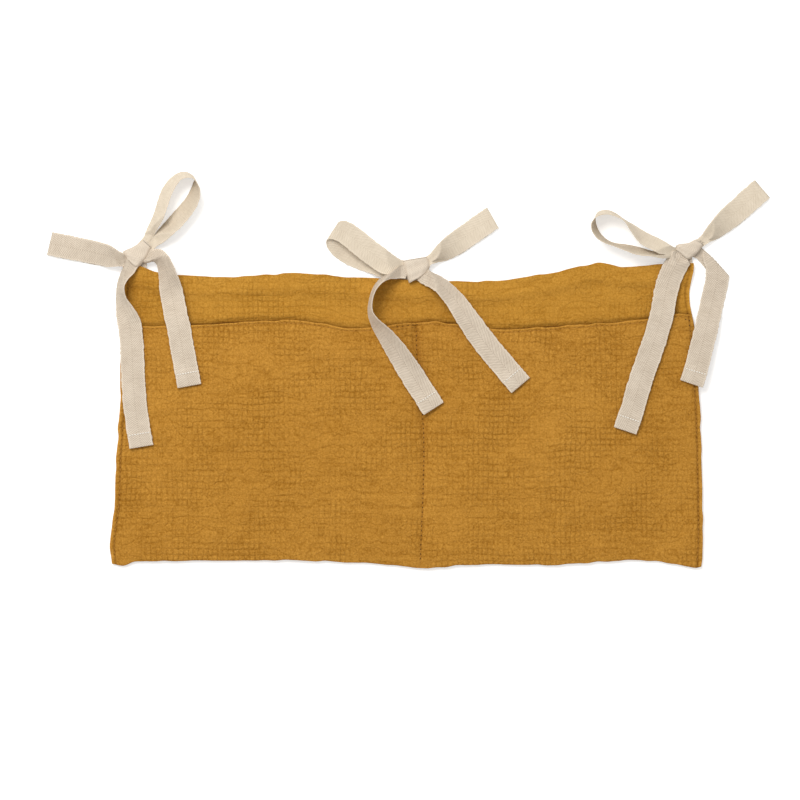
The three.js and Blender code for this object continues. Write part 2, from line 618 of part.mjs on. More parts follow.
// The band round a knot. It rests on the legs and on the top edge of the panel, and slopes between them
function wrapOf(tie, legs) {
  const [kx, ky] = tie.knot;
  const corners = tie.wrap.map(([x, y]) => new THREE.Vector2(kx + x * twentieth, ky + y * twentieth));
  const middle = new THREE.Vector2(kx, ky);
  const upperEnd = Math.max(...corners.map((corner) => corner.y)) + tapeThickness;
  const legsTop = legs[legs.length - 1].z + rootThickness / 2;
  const slopes = wrapShares.flatMap((share) => corners.map((corner) => {
    const place = middle.clone().lerp(corner, share);
    return (restHeight(legs, place.x, place.y) - legsTop) / (upperEnd - place.y);
  }));
  const slope = Math.max(...slopes);
  const band = new THREE.ExtrudeGeometry(new THREE.Shape(corners), {
    depth: knotHeight - 2 * knotBevel,
    bevelThickness: knotBevel,
    bevelSize: knotBevel,
    bevelOffset: -knotBevel,
    bevelSegments: 2,
  });
  const position = band.getAttribute('position');
  for (let i = 0; i < position.count; i += 1) {
    const floor = legsTop + slope * (upperEnd - position.getY(i));
    position.setZ(i, position.getZ(i) + floor + layerGap + knotBevel);
  }
  return solidOf(band);
}

for (const tie of ties) {
  const legs = legsOf(tie);
  add(`${tie.name}_tie_legs`, sweep(legs.map((point) => ({
    point,
    axis: new THREE.Vector3(-1, 0, 0),
  })), tapeWidth, rootThickness), creamTape);

  let knot = wrapOf(tie, legs);
  for (const tape of tie.tapes) {
    const x = tie.knot[0] + tape.hinge[0] * twentieth;
    const y = tie.knot[1] + tape.hinge[1] * twentieth;
    const heading = headedBy(tape.bearing);
    const stations = tapeStations(tie, tape, legs);
    const past = ({ point }) => (point.x - x) * heading.x + (point.y - y) * heading.y;
    const isTail = tape.route[0].length === 4;
    const farthest = isTail ? stations.length - 1 : Math.round(stations.length / 2);
    const leaving = stations.slice(0, farthest).findLastIndex((station) => past(station) <= 0);
    const returning = farthest + stations.slice(farthest).findIndex((station) => past(station) <= 0);
    const start = Math.max(leaving - overrun, 0);
    const end = isTail ? stations.length : returning + overrun + 1;
    const loose = sweep(stations.slice(start, end), tapeWidth, tapeThickness);
    const run = solidOf(loose).intersect(beyond(x, y, tape.bearing));
    add(`${tie.name}_bow_${tape.name}`, geometryOf(run), creamTape);

    const behind = beyond(x - heading.x * hingeGap, y - heading.y * hingeGap, tape.bearing);
    const stubs = [stations.slice(0, leaving + overrun + 2)];
    if (!isTail) stubs.push(stations.slice(returning - overrun - 1));
    for (const stub of stubs) {
      knot = knot.add(solidOf(sweep(stub, tapeWidth, tapeThickness)).subtract(behind));
    }

    if (isTail) {
      const tip = stations[stations.length - 1];
      const before = stations[stations.length - 2];
      const inward = before.point.clone().sub(tip.point).normalize();
      const row = tip.point.clone().addScaledVector(inward, hemLength - hemStitchInset);
      const reach = halfTape - selvedgeInset;
      const face = tip.axis.clone().cross(inward).normalize();
      const lift = tapeThickness / 2 + layerGap + threadDiameter / 2;
      const ends = [-1, 1].map((side) => row.clone().addScaledVector(tip.axis, side * reach)
        .addScaledVector(face, Math.sign(face.z) * lift));
      add(`${tie.name}_${tape.name}_hem_thread`, threadAlong(ends), creamThread);
    }
  }
  add(`${tie.name}_bow_knot`, geometryOf(knot), creamTape);
}

export default organizer;
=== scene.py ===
import bpy
import numpy as np
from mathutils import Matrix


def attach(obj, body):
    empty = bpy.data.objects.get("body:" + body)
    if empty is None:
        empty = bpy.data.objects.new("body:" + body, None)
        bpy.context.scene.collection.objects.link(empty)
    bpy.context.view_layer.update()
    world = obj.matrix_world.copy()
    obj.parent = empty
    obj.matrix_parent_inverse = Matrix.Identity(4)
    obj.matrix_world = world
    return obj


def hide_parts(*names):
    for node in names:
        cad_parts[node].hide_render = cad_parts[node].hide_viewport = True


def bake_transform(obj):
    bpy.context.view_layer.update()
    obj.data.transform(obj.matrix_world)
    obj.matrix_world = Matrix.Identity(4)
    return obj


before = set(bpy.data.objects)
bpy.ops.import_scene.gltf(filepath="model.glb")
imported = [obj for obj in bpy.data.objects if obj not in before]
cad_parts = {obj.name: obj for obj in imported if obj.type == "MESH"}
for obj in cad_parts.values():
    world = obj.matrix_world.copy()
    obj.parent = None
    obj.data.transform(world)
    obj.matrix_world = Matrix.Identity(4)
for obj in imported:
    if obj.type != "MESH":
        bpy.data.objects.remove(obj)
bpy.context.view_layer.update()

# The camera hangs straight above the table on a long lens, so that upright tape hides little behind it. It hangs as
# high as makes one pixel as wide on the table as it is in the photo.
MM = 0.001  # one millimetre in metres
IMAGE_WIDTH = 800  # pixels
PIXEL = 0.845  # the width of one pixel on the table
VIEW_MIDDLE = (-5.07, 14.79)  # the place on the table under the camera
LENS = 150
SENSOR = 36

camera_data = bpy.data.cameras.new("camera")
camera_data.lens = LENS
camera_data.sensor_width = SENSOR
camera = bpy.data.objects.new("camera", camera_data)
camera.location = (VIEW_MIDDLE[0] * MM, VIEW_MIDDLE[1] * MM, IMAGE_WIDTH * PIXEL * LENS / SENSOR * MM)
bpy.context.scene.collection.objects.link(camera)
bpy.context.scene.camera = camera
bpy.context.scene.view_settings.view_transform = "Standard"


# The table and the light. The table is white paper that glows a little to the camera alone, so that it is
# plain white round the object and still takes its shadow. One broad lamp and an even sky light the object.
TABLE_SIZE = 8000
TABLE_DROP = 0.4  # the table top lies this far under the cloth
PAPER_WHITE = (0.86, 0.86, 0.86, 1)
PAPER_GLOW = 0.42  # the strength of the glow that only the camera sees
WARM_WHITE = (1, 0.985, 0.96)
SKY_LEVEL = 0.62
LAMP_PLACE = (-600, 1000, 1900)
LAMP_SIZE = 900
LAMP_POWER = 31  # watts


def add_node(tree, kind, inputs=None, **settings):
    """A node with its settings, and each named input set to a number or a colour or joined to a socket."""
    node = tree.nodes.new(kind)
    for name, value in settings.items():
        setattr(node, name, value)
    for name, value in (inputs or {}).items():
        if isinstance(value, bpy.types.NodeSocket):
            tree.links.new(value, node.inputs[name])
        else:
            node.inputs[name].default_value = value
    return node


def ray_mask(tree):
    """1 for what the camera sees itself or by a mirror or glass, and 0 for light that falls on the object."""
    path = add_node(tree, "ShaderNodeLightPath")
    glossy = add_node(tree, "ShaderNodeMath", {0: path.outputs["Is Camera Ray"],
                                               1: path.outputs["Is Glossy Ray"]}, operation="MAXIMUM")
    return add_node(tree, "ShaderNodeMath", {0: glossy.outputs[0],
                                             1: path.outputs["Is Transmission Ray"]},
                    operation="MAXIMUM").outputs[0]


world = bpy.data.worlds.new("studio")
world.use_nodes = True
bpy.context.scene.world = world
sky = world.node_tree
sky.nodes.clear()
lit_sky = add_node(sky, "ShaderNodeBackground", {"Color": (*WARM_WHITE, 1), "Strength": SKY_LEVEL})
seen_sky = add_node(sky, "ShaderNodeBackground", {"Color": (1, 1, 1, 1), "Strength": 1})
sky_mix = add_node(sky, "ShaderNodeMixShader", {0: ray_mask(sky), 1: lit_sky.outputs[0], 2: seen_sky.outputs[0]})
add_node(sky, "ShaderNodeOutputWorld", {"Surface": sky_mix.outputs[0]})

paper = bpy.data.materials.new("white_paper")
paper.use_nodes = True
paper.node_tree.nodes.clear()
paper_white = add_node(paper.node_tree, "ShaderNodeBsdfDiffuse", {"Color": PAPER_WHITE})
paper_glow = add_node(paper.node_tree, "ShaderNodeEmission", {"Color": (1, 1, 1, 1)})
glow_level = add_node(paper.node_tree, "ShaderNodeMath", {0: ray_mask(paper.node_tree), 1: PAPER_GLOW},
                      operation="MULTIPLY")
paper.node_tree.links.new(glow_level.outputs[0], paper_glow.inputs["Strength"])
paper_sum = add_node(paper.node_tree, "ShaderNodeAddShader", {0: paper_white.outputs[0], 1: paper_glow.outputs[0]})
add_node(paper.node_tree, "ShaderNodeOutputMaterial", {"Surface": paper_sum.outputs[0]})

half_table = TABLE_SIZE / 2 * MM
table_mesh = bpy.data.meshes.new("table")
table_corners = np.array([[-1, -1], [1, -1], [1, 1], [-1, 1]]) * half_table
table_mesh.from_pydata(np.c_[table_corners, np.full(4, -TABLE_DROP * MM)].tolist(), [], [[0, 1, 2, 3]])
table_mesh.materials.append(paper)
table = bpy.data.objects.new("table", table_mesh)
bpy.context.scene.collection.objects.link(table)

lamp_data = bpy.data.lights.new("lamp", "AREA")
lamp_data.size = LAMP_SIZE * MM
lamp_data.energy = LAMP_POWER
lamp_data.color = WARM_WHITE
lamp = bpy.data.objects.new("lamp", lamp_data)
lamp.location = np.array(LAMP_PLACE) * MM
lamp.rotation_euler = (-lamp.location).to_track_quat("-Z", "Y").to_euler()
bpy.context.scene.collection.objects.link(lamp)


# The panel: a back lining, a front facing and one doubled sheet of pocket cloth, sewn together along the sides,
# the bottom and one line near the middle. All are cotton double gauze, two thin muslins tacked together every few
# millimetres, which pucker into small cells and crinkle sideways when washed.
PANEL_WIDTH = 500
PANEL_HEIGHT = 246
HEADER_HEIGHT = 45  # from the mouths of the pockets to the top edge
SEAM_SHIFT = 12  # the seam between the pockets runs this far to the right of the middle
PLY_THICKNESS = 0.8
POCKET_THICKNESS = 1.6
POCKET_GAPE = 9  # how far the pocket cloth stands off the facing at its mouths
POCKET_RELAX = 0.45  # the power that rounds the bulge across a pocket
MOUTH_RELAX = 0.8  # and the one that rounds it from the bottom to the mouth
SEAM_FLAT = 1.5  # the pocket cloth stays down this far to each side of a row of stitches
LAYER_GAP = 0.3  # left free between cloths and tapes that lie on each other
EDGE_WAVE_HEIGHT = 1.2
EDGE_WAVE_LENGTH = 118
EDGE_WAVE_REACH = 34
SEAM_DEPTH = 12  # how far the allowance is turned in along the top edge
SEAM_TAPER = 9  # and over what length the facing comes down below it
SEAM_BULK = 2.2  # what lies inside the top seam: the ties' doubled legs and some room
STITCH_INSET = 3.8
MOUTH_STITCH_INSET = 2.1
CLOTH_STEP = 1.9  # between the grid lines of the cloth
ROW_STEPS = (-1.5, -0.8, 0, 0.8, 1.5)  # closer grid lines beside a row of stitches
RIM_STEPS = (0.04, 0.16, 0.4, 0.8)  # closer grid lines along the edges, to round them
FACING_ROW_SHARE = 0.997  # the closer lines of the lining and facing run this share of the header's height down
LINING_SEED = 11
FACING_SEED = 21
POCKET_SEED = 31
NOISE_LATTICE = (64, 256)  # rows and columns of cells, after which the noise repeats
NOISE_START = (30, 100)  # the cell at the panel's middle
ENDLESS = 400  # a cell so long that the noise changes only the other way
LONG_FOLD = (46, 6.5)  # the cell of a washed-in fold along and across it
SHORT_FOLD = (15, 4.2)
UPRIGHT_FOLD = (6.5, 27)
CRINKLE_HEIGHT = 0.7
CRINKLE_TOP = 0.75  # the share of that height which lies below the smooth cloth
SETTLE_REACH = 6  # within this distance of an edge the crinkles sink to a share of their height
SETTLE_SHARE = 0.4
SEAM_SINK = 0.4
SEAM_GROOVE = 1.3  # half the width of the groove along a row
MOUTH_GROOVE = 1.1
SEAM_PUCKER = 0.22
PUCKER_LENGTH = 8.3
PUCKER_WANDER = 9  # the ripples drift along the row by up to this much, over cells of the next size
PUCKER_CELL = (30, 25)
PUCKER_SEED = 40
PUCKER_REACH = 9
MOUTH_RIDGE = 0.9  # the facing puffs up just above the mouths, and falls steeply to them
MOUTH_RIDGE_OFFSET = 3.6
MOUTH_RIDGE_STEEP = 1.7  # its reach towards the mouths
MOUTH_RIDGE_LONG = 6  # and towards the top edge
EDGE_LIGHTENED = 2.4  # the lighter band along a sewn edge
MOUTH_LIGHTENED = 1.6  # and along the fold of a mouth
SIDE_DARK = (0.5, 0.9)  # how dark the painted shade in the groove of a row is and half its width: of the rows along the sides,
SEAM_DARK = (0.2, 1.0)  # of the one between the pockets,
MOUTH_DARK = (0.2, 0.8)  # and of the one below the mouths
HOLLOW_DARK = (0.55, 0.9)  # the painted shadow on the facing under a mouth is as dark as the first number, or by up to the second more
HOLLOW_WIDTH = 1.0
HOLLOW_CELL = 55
HOLLOW_SEED = 8
EDGE_RIPPLE = 1.5  # the sewn edges wander by this much over a few stitches
EDGE_RIPPLE_CELL = 8.5
EDGE_RIPPLE_SEEDS = (5, 6)  # along the top and bottom, and along the sides
EDGE_RIPPLE_REACH = 7
TABLE_CLEARANCE = 0.02  # the least height of any cloth over the frame's ground
HALF_WIDTH = PANEL_WIDTH / 2
HALF_HEIGHT = PANEL_HEIGHT / 2
MOUTH_HEIGHT = HALF_HEIGHT - HEADER_HEIGHT

# The soft outline, as in the solids: [share of the way along an edge, offset]
TOP_WAVE = [
    [-1, 5.5], [-0.95, 5], [-0.87, -1], [-0.65, -4], [-0.5, -2], [-0.38, -1.5], [-0.23, -4.5], [0.02, -7],
    [0.28, -8], [0.41, -4], [0.51, 0], [0.62, 6], [0.68, 7.5], [0.75, 3.5], [0.86, 6], [1, 7.5],
]
BOTTOM_WAVE = [
    [-1, -0.5], [-0.96, -1.8], [-0.92, 1], [-0.8, 2], [-0.46, 2.5], [-0.18, 0], [0.03, -4], [0.16, -1.5],
    [0.48, -1.5], [0.69, 2], [0.83, 1.5], [0.97, -3.5], [1, -2.5],
]
MOUTH_WAVE = [
    [-1, -0.8], [-0.8, -0.8], [-0.53, 3.5], [-0.38, 3], [-0.2, -3], [0.03, 3], [0.13, 1], [0.28, -4],
    [0.44, -2.5], [0.64, 1], [0.81, 4], [0.9, 8.5], [1, 9],
]
LEFT_WAVE = [[-1, 1], [-0.85, 0], [-0.61, 4], [-0.28, 5.5], [0.08, 8.5], [0.38, 9], [1, 11.5]]
RIGHT_WAVE = [[-1, -0.5], [-0.8, 0.5], [-0.02, -1.5], [0.65, -7], [0.85, -10.5], [1, -7]]
SEAM_WAVE = [[-1, 0], [-0.15, 3], [0.46, -3], [1, -3]]


def curve_through(points, at):
    """A smooth curve through points: on each stretch a cubic whose slope at a point is that of its neighbours."""
    points = np.array(points, float)
    place, value = points.T
    at = np.clip(at, place[0], place[-1])
    after = np.minimum(np.arange(len(points)) + 1, len(points) - 1)
    before = np.maximum(np.arange(len(points)) - 1, 0)
    slope = (value[after] - value[before]) / (place[after] - place[before])
    i = np.clip(np.searchsorted(place, at) - 1, 0, len(points) - 2)
    span = place[i + 1] - place[i]
    t = (at - place[i]) / span
    bend = slope[i] * span * (t ** 3 - 2 * t ** 2 + t) + slope[i + 1] * span * (t ** 3 - t ** 2)
    return value[i] * (1 + 2 * t) * (1 - t) ** 2 + value[i + 1] * t * t * (3 - 2 * t) + bend


def smooth(t):
    """0 below 0, 1 above 1, and an even S between."""
    t = np.clip(t, 0, 1)
    return t * t * (3 - 2 * t)


def mix(a, b, t):
    """The value a share t of the way from a to b."""
    return a + (b - a) * t


def bell(off, height, width):
    """A bell curve: the height times e to the power of minus the square of the distance over the width."""
    return height * np.exp(-(off / width) ** 2)


def left_edge(y):
    """x of the left edge: half the width to the left, plus its wave."""
    return -HALF_WIDTH + curve_through(LEFT_WAVE, y / HALF_HEIGHT)


def right_edge(y):
    """x of the right edge: half the width to the right, plus its wave."""
    return HALF_WIDTH + curve_through(RIGHT_WAVE, y / HALF_HEIGHT)


def seam_line(y):
    """x of the seam between the pockets: its shift from the middle, plus its wave."""
    return SEAM_SHIFT + curve_through(SEAM_WAVE, y / HALF_HEIGHT)


def top_edge(u):
    """y of the top edge: half the height up, plus its wave."""
    return HALF_HEIGHT + curve_through(TOP_WAVE, u)


def bottom_edge(u):
    """y of the bottom edge: half the height down, plus its wave."""
    return -HALF_HEIGHT + curve_through(BOTTOM_WAVE, u)


def mouth_edge(u):
    """y of the fold at the mouths: the header's height below the top, plus its wave."""
    return MOUTH_HEIGHT + curve_through(MOUTH_WAVE, u)


def across(u, y):
    """x at a share u of the width: -1 is the left edge, 0 the middle seam and 1 the right edge."""
    return np.where(u < 0, mix(seam_line(y), left_edge(y), -u), mix(seam_line(y), right_edge(y), u))


def share_across(x, y):
    """The share u that across() turns back into x."""
    off = x - seam_line(y)
    return np.where(off < 0, off / (seam_line(y) - left_edge(y)), off / (right_edge(y) - seam_line(y)))


def edge_lift(x, y, u):
    """The whole cloth lifts off the table in soft waves along its edges, and not at all in the middle."""
    to_side = np.minimum(x - left_edge(y), right_edge(y) - x)
    to_end = np.minimum(y - bottom_edge(u), top_edge(u) - y)
    along = np.where(to_side < to_end, y, x)
    wave = 0.5 + 0.5 * np.sin(2 * np.pi * along / EDGE_WAVE_LENGTH)
    return EDGE_WAVE_HEIGHT * wave * smooth(1 - np.minimum(to_side, to_end) / EDGE_WAVE_REACH)


def facing_underside(x, y, u):
    """Height of the facing's underside: a gap over the lining, and over the allowance at the top edge the seam's
    bulk more, which an S curve takes away below it."""
    below = top_edge(u) - y - SEAM_DEPTH
    return edge_lift(x, y, u) + PLY_THICKNESS + LAYER_GAP + SEAM_BULK * smooth(1 - below / SEAM_TAPER)


def pocket_underside(x, y, u):
    """Height of the pocket cloth's underside: the facing's top plus a bulge. That is a parabola across each pocket,
    zero at its seams, times a quarter of a sine wave from the bottom to the mouth, and both are rounded by a power."""
    depth = np.clip((y - bottom_edge(u)) / (mouth_edge(u) - bottom_edge(u)), 0, 1)
    share = np.abs(u)
    flat = SEAM_FLAT / HALF_WIDTH
    fullness = np.clip(4 * (share - flat) * (1 - share), 0, None) ** POCKET_RELAX
    bulge = POCKET_GAPE * fullness * np.sin(np.pi / 2 * depth) ** MOUTH_RELAX
    return facing_underside(x, y, u) + PLY_THICKNESS + LAYER_GAP + bulge


def value_noise(x, y, cell_x, cell_y, seed):
    """Seeded random heights from 0 to 1 on a lattice of cells, blended by S curves between its corners."""
    rows, columns = NOISE_LATTICE
    heights = np.random.default_rng(seed).random(NOISE_LATTICE)
    a, b = x / cell_x + NOISE_START[1], y / cell_y + NOISE_START[0]
    i, j = np.floor(a).astype(int) % columns, np.floor(b).astype(int) % rows
    s, t = smooth(a % 1), smooth(b % 1)
    i2, j2 = (i + 1) % columns, (j + 1) % rows
    return mix(mix(heights[j, i], heights[j, i2], s), mix(heights[j2, i], heights[j2, i2], s), t)


def crinkle(x, y, seed):
    """Height of washed gauze: the sum of three noises, of long shallow folds across the cloth, shorter ones and
    upright ones. The first two are swayed by sine waves so that they don't run straight."""
    long_folds = value_noise(x + 3 * np.sin(y / 9), y, *LONG_FOLD, seed)
    short_folds = value_noise(x, y + 2 * np.sin(x / 13), *SHORT_FOLD, seed + 1)
    upright_folds = value_noise(x, y, *UPRIGHT_FOLD, seed + 2)
    return CRINKLE_HEIGHT * (0.5 * long_folds + 0.27 * short_folds + 0.23 * upright_folds - CRINKLE_TOP)


def seam_shape(x, y, u, mouth):
    """A row of stitches pulls the cloth down in a groove, which is a bell curve, and into short sine ripples that
    die out beside it. Above the mouths the facing has a soft ridge, a bell curve with a steep and a long side."""
    rows = [x - left_edge(y) - STITCH_INSET, right_edge(y) - STITCH_INSET - x, x - seam_line(y)]
    shape = np.zeros_like(x)
    for k, off in enumerate(rows):
        if k == 2 and not mouth:
            continue
        drift = PUCKER_WANDER * value_noise(x, y, *PUCKER_CELL, PUCKER_SEED + k)
        ripple = np.sin(2 * np.pi * (y + drift) / PUCKER_LENGTH)
        shape += SEAM_PUCKER * ripple * np.exp(-np.abs(off) / PUCKER_REACH) - bell(off, SEAM_SINK, SEAM_GROOVE)
    if mouth:
        return shape - bell(mouth_edge(u) - MOUTH_STITCH_INSET - y, SEAM_SINK, MOUTH_GROOVE)
    off = y - mouth_edge(u) - MOUTH_RIDGE_OFFSET
    ridge = bell(off, MOUTH_RIDGE, np.where(off < 0, MOUTH_RIDGE_STEEP, MOUTH_RIDGE_LONG))
    return shape + ridge * (y > mouth_edge(u) - 2)


def light_edges_and_painted_shade_of(x, y, u, end_edge, mouth):
    """How much lighter or darker than the cloth a place is: lighter by an S curve along its sewn edges and along the
    fold of a mouth, and darker by bell curves, as painted shade in the grooves of the rows and as a painted shadow
    where the facing dives under a mouth."""
    to_side = np.minimum(x - left_edge(y), right_edge(y) - x)
    lightened = smooth(1 - (end_edge(u) - y) / MOUTH_LIGHTENED) if mouth else smooth(1 - to_side / EDGE_LIGHTENED)
    # painted shade in the grooves of the rows
    deep = bell(to_side - STITCH_INSET, *SIDE_DARK)
    if mouth:
        deep = deep + bell(x - seam_line(y), *SEAM_DARK)
        deep = deep + bell(mouth_edge(u) - MOUTH_STITCH_INSET - y, *MOUTH_DARK)
        lightened = np.maximum(lightened, smooth(1 - to_side / EDGE_LIGHTENED))
    else:
        # painted shadow on the facing where it dives under a mouth
        hollow = HOLLOW_DARK[0] + HOLLOW_DARK[1] * value_noise(x, y, HOLLOW_CELL, ENDLESS, HOLLOW_SEED)
        deep = deep + bell(np.maximum(y - mouth_edge(u) - 0.2, 0), hollow, HOLLOW_WIDTH)
    return lightened - deep


def closed_shell(name, upper, lower, material, uv):
    """A closed mesh between two grids of points that meet along their border, with both faces turned outwards.
    Rows run along the piece and columns across it, and uv holds each grid point's place in the pattern."""
    rows, cols = upper.shape[:2]
    top = np.arange(rows * cols).reshape(rows, cols)
    bottom = top.copy()
    bottom[1:-1, 1:-1] = rows * cols + np.arange((rows - 2) * (cols - 2)).reshape(rows - 2, cols - 2)
    points = np.concatenate([upper.reshape(-1, 3), lower[1:-1, 1:-1].reshape(-1, 3)]) * MM
    places = np.concatenate([uv.reshape(-1, 2), uv[1:-1, 1:-1].reshape(-1, 2)]) * MM

    def quads(index, order):
        """The four corners of every cell of an index grid, taken round in the given order."""
        corners = [index[:-1, :-1], index[:-1, 1:], index[1:, 1:], index[1:, :-1]]
        return np.stack([corners[k] for k in order], -1).reshape(-1, 4)

    faces = np.concatenate([quads(top, (0, 1, 2, 3)), quads(bottom, (0, 3, 2, 1))])
    return mesh_piece(name, points, faces, material, places)


def mesh_piece(name, points, faces, material, places=None):
    """A smooth-shaded object at the origin from points in metres and faces that all have the same corner count."""
    mesh = bpy.data.meshes.new(name)
    mesh.vertices.add(len(points))
    mesh.vertices.foreach_set("co", points.astype(np.float32).ravel())
    mesh.loops.add(faces.size)
    mesh.loops.foreach_set("vertex_index", faces.astype(np.int32).ravel())
    mesh.polygons.add(len(faces))
    mesh.polygons.foreach_set("loop_start", np.arange(0, faces.size, faces.shape[1], dtype=np.int32))
    if places is not None:
        layer = mesh.uv_layers.new(name="weave")
        layer.data.foreach_set("uv", places[faces.ravel()].astype(np.float32).ravel())
    mesh.update(calc_edges=True)
    mesh.validate()
    mesh.shade_smooth()
    mesh.materials.append(material)
    piece = bpy.data.objects.new(name, mesh)
    bpy.context.scene.collection.objects.link(piece)
    return piece


def rimmed(low, high, step):
    """Even steps from low to high, with a few closer ones at each end."""
    inner = np.linspace(low, high, int(round((high - low) / step)) + 1)[1:-1]
    rim = np.array(RIM_STEPS)
    return np.concatenate([[low], low + rim, inner, high - rim[::-1], [high]])


def cloth_piece(name, end_edge, underside, thickness, material, seed, mouth):
    """A layer of cloth from the bottom edge up to end_edge, on a grid of shares across and heights, in a rounded
    rim: its thickness falls to nothing at the border as the height of a half circle does."""
    near = np.array(ROW_STEPS)
    inset = HALF_WIDTH - STITCH_INSET
    columns = np.concatenate([rimmed(-HALF_WIDTH, HALF_WIDTH, CLOTH_STEP), near, near - inset, near + inset])
    u = np.unique(columns) / HALF_WIDTH
    mouth_row = PANEL_HEIGHT - (MOUTH_STITCH_INSET if mouth else HEADER_HEIGHT * FACING_ROW_SHARE)
    s = np.unique(np.concatenate([rimmed(0, PANEL_HEIGHT, CLOTH_STEP), near + mouth_row])) / PANEL_HEIGHT
    u, s = np.meshgrid(u, s)
    y = mix(bottom_edge(u), end_edge(u), s)
    x = across(u, y)
    to_side = np.minimum(x - left_edge(y), right_edge(y) - x)
    to_end = np.minimum(y - bottom_edge(u), end_edge(u) - y)
    inward = np.minimum(to_side, to_end)
    ripple_y = EDGE_RIPPLE * (value_noise(x, y, EDGE_RIPPLE_CELL, ENDLESS, EDGE_RIPPLE_SEEDS[0]) - 0.5)
    ripple_y = ripple_y * smooth(1 - to_end / EDGE_RIPPLE_REACH)
    ripple_x = EDGE_RIPPLE * (value_noise(y, x, EDGE_RIPPLE_CELL, ENDLESS, EDGE_RIPPLE_SEEDS[1]) - 0.5)
    ripple_x = ripple_x * smooth(1 - to_side / EDGE_RIPPLE_REACH)
    round_rim = np.sqrt(1 - (1 - np.clip(inward * 2 / thickness, 0, 1)) ** 2)
    settle = mix(SETTLE_SHARE, 1, smooth(inward / SETTLE_REACH))
    fold = crinkle(x, y, seed) * settle + seam_shape(x, y, u, mouth)
    middle = underside(x, y, u) + thickness / 2 + fold
    underneath = np.maximum(middle - thickness / 2 * round_rim, TABLE_CLEARANCE)
    upper = np.stack([x + ripple_x, y + ripple_y, middle + thickness / 2 * round_rim], -1)
    lower = np.stack([x + ripple_x, y + ripple_y, underneath], -1)
    lower[[0, -1]] = upper[[0, -1]]
    lower[:, [0, -1]] = upper[:, [0, -1]]
    sheet = closed_shell(name, upper, lower, material, np.stack([x, y], -1))
    # The lighter edges and the painted shade and shadow go to the shader as a point attribute.
    light_edges_and_painted_shade = light_edges_and_painted_shade_of(x, y, u, end_edge, mouth)
    layer = sheet.data.attributes.new("light_edges_and_painted_shade", "FLOAT", "POINT")
    layer.data.foreach_set("value", np.concatenate([light_edges_and_painted_shade.ravel(), light_edges_and_painted_shade[1:-1, 1:-1].ravel()]).astype(np.float32))
    return sheet


def calc(tree, operation, *values):
    """The result of a Math node on numbers or sockets."""
    return add_node(tree, "ShaderNodeMath", dict(enumerate(values)), operation=operation).outputs[0]


def new_group(name, inputs, outputs):
    """An empty node group with float or colour sockets, its input node and its output node."""
    group = bpy.data.node_groups.new(name, "ShaderNodeTree")
    for direction, sockets in (("INPUT", inputs), ("OUTPUT", outputs)):
        for socket, kind in sockets.items():
            group.interface.new_socket(socket, in_out=direction, socket_type=kind)
    return group, group.nodes.new("NodeGroupInput"), group.nodes.new("NodeGroupOutput")


def noise(tree, vector, scale, detail=2.0, roughness=0.5):
    """A smooth noise from 0 to 1 at places in millimetres, where scale is the number of lumps in one millimetre."""
    inputs = {"Vector": vector, "Scale": scale, "Detail": detail, "Roughness": roughness}
    return add_node(tree, "ShaderNodeTexNoise", inputs).outputs["Fac"]


def stretched(tree, vector, x, y):
    """Places scaled apart along x and y."""
    return add_node(tree, "ShaderNodeVectorMath", {0: vector, 1: (x, y, 1)}, operation="MULTIPLY").outputs[0]


def waves(tree, value, length):
    """A sine wave of the given length along a value in millimetres."""
    return calc(tree, "SINE", calc(tree, "MULTIPLY", value, 2 * np.pi / length))


def weighted(tree, start, *terms):
    """A number plus each value times its weight."""
    total = start
    for value, weight in terms:
        total = calc(tree, "ADD", total, calc(tree, "MULTIPLY", value, weight))
    return total


def centred(tree, value):
    """A value from 0 to 1 moved down to lie about 0."""
    return calc(tree, "SUBTRACT", value, 0.5)


def srgb(red, green, blue):
    """A colour written as on a screen, 0 to 255, as the linear colour that shaders use."""
    shares = np.array([red, green, blue]) / 255
    linear = np.where(shares < 0.04045, shares / 12.92, ((shares + 0.055) / 1.055) ** 2.4)
    return (*linear.tolist(), 1.0)


CELL_WIDTH = 4.3  # between the points where the two muslins are tacked together
CELL_HEIGHT = 5.1
THREAD_PITCH = 0.62
CELL_SWAY = 7.0  # the grid of cells is bent by up to this much
PATCH_LEVELS = {"From Min": 0.38, "From Max": 0.62, "To Min": 0.2, "To Max": 1.1}  # how sharp the cells are
# Creases: the lumps of their noise in one millimetre along x and y, how sharp and how detailed they are, and their
# place in the noise
LEVEL_CREASES = (0.012, 0.1, 11.0, 1.3, (0, 0, 0))
SHORT_CREASES = (0.05, 0.2, 8.0, 2.0, (300, 90, 0))
UPRIGHT_CREASES = (0.2, 0.03, 8.0, 1.6, (70, 500, 0))
MUSTARD_LIGHT = srgb(208, 151, 63)
MUSTARD_DARK = srgb(153, 101, 22)
MUSTARD_PAINTED_SHADE = srgb(96, 54, 6)  # painted shade, down in the grooves of the rows and under the mouths
HEADER_LIGHT = srgb(211, 155, 63)
HEADER_DARK = srgb(170, 117, 32)


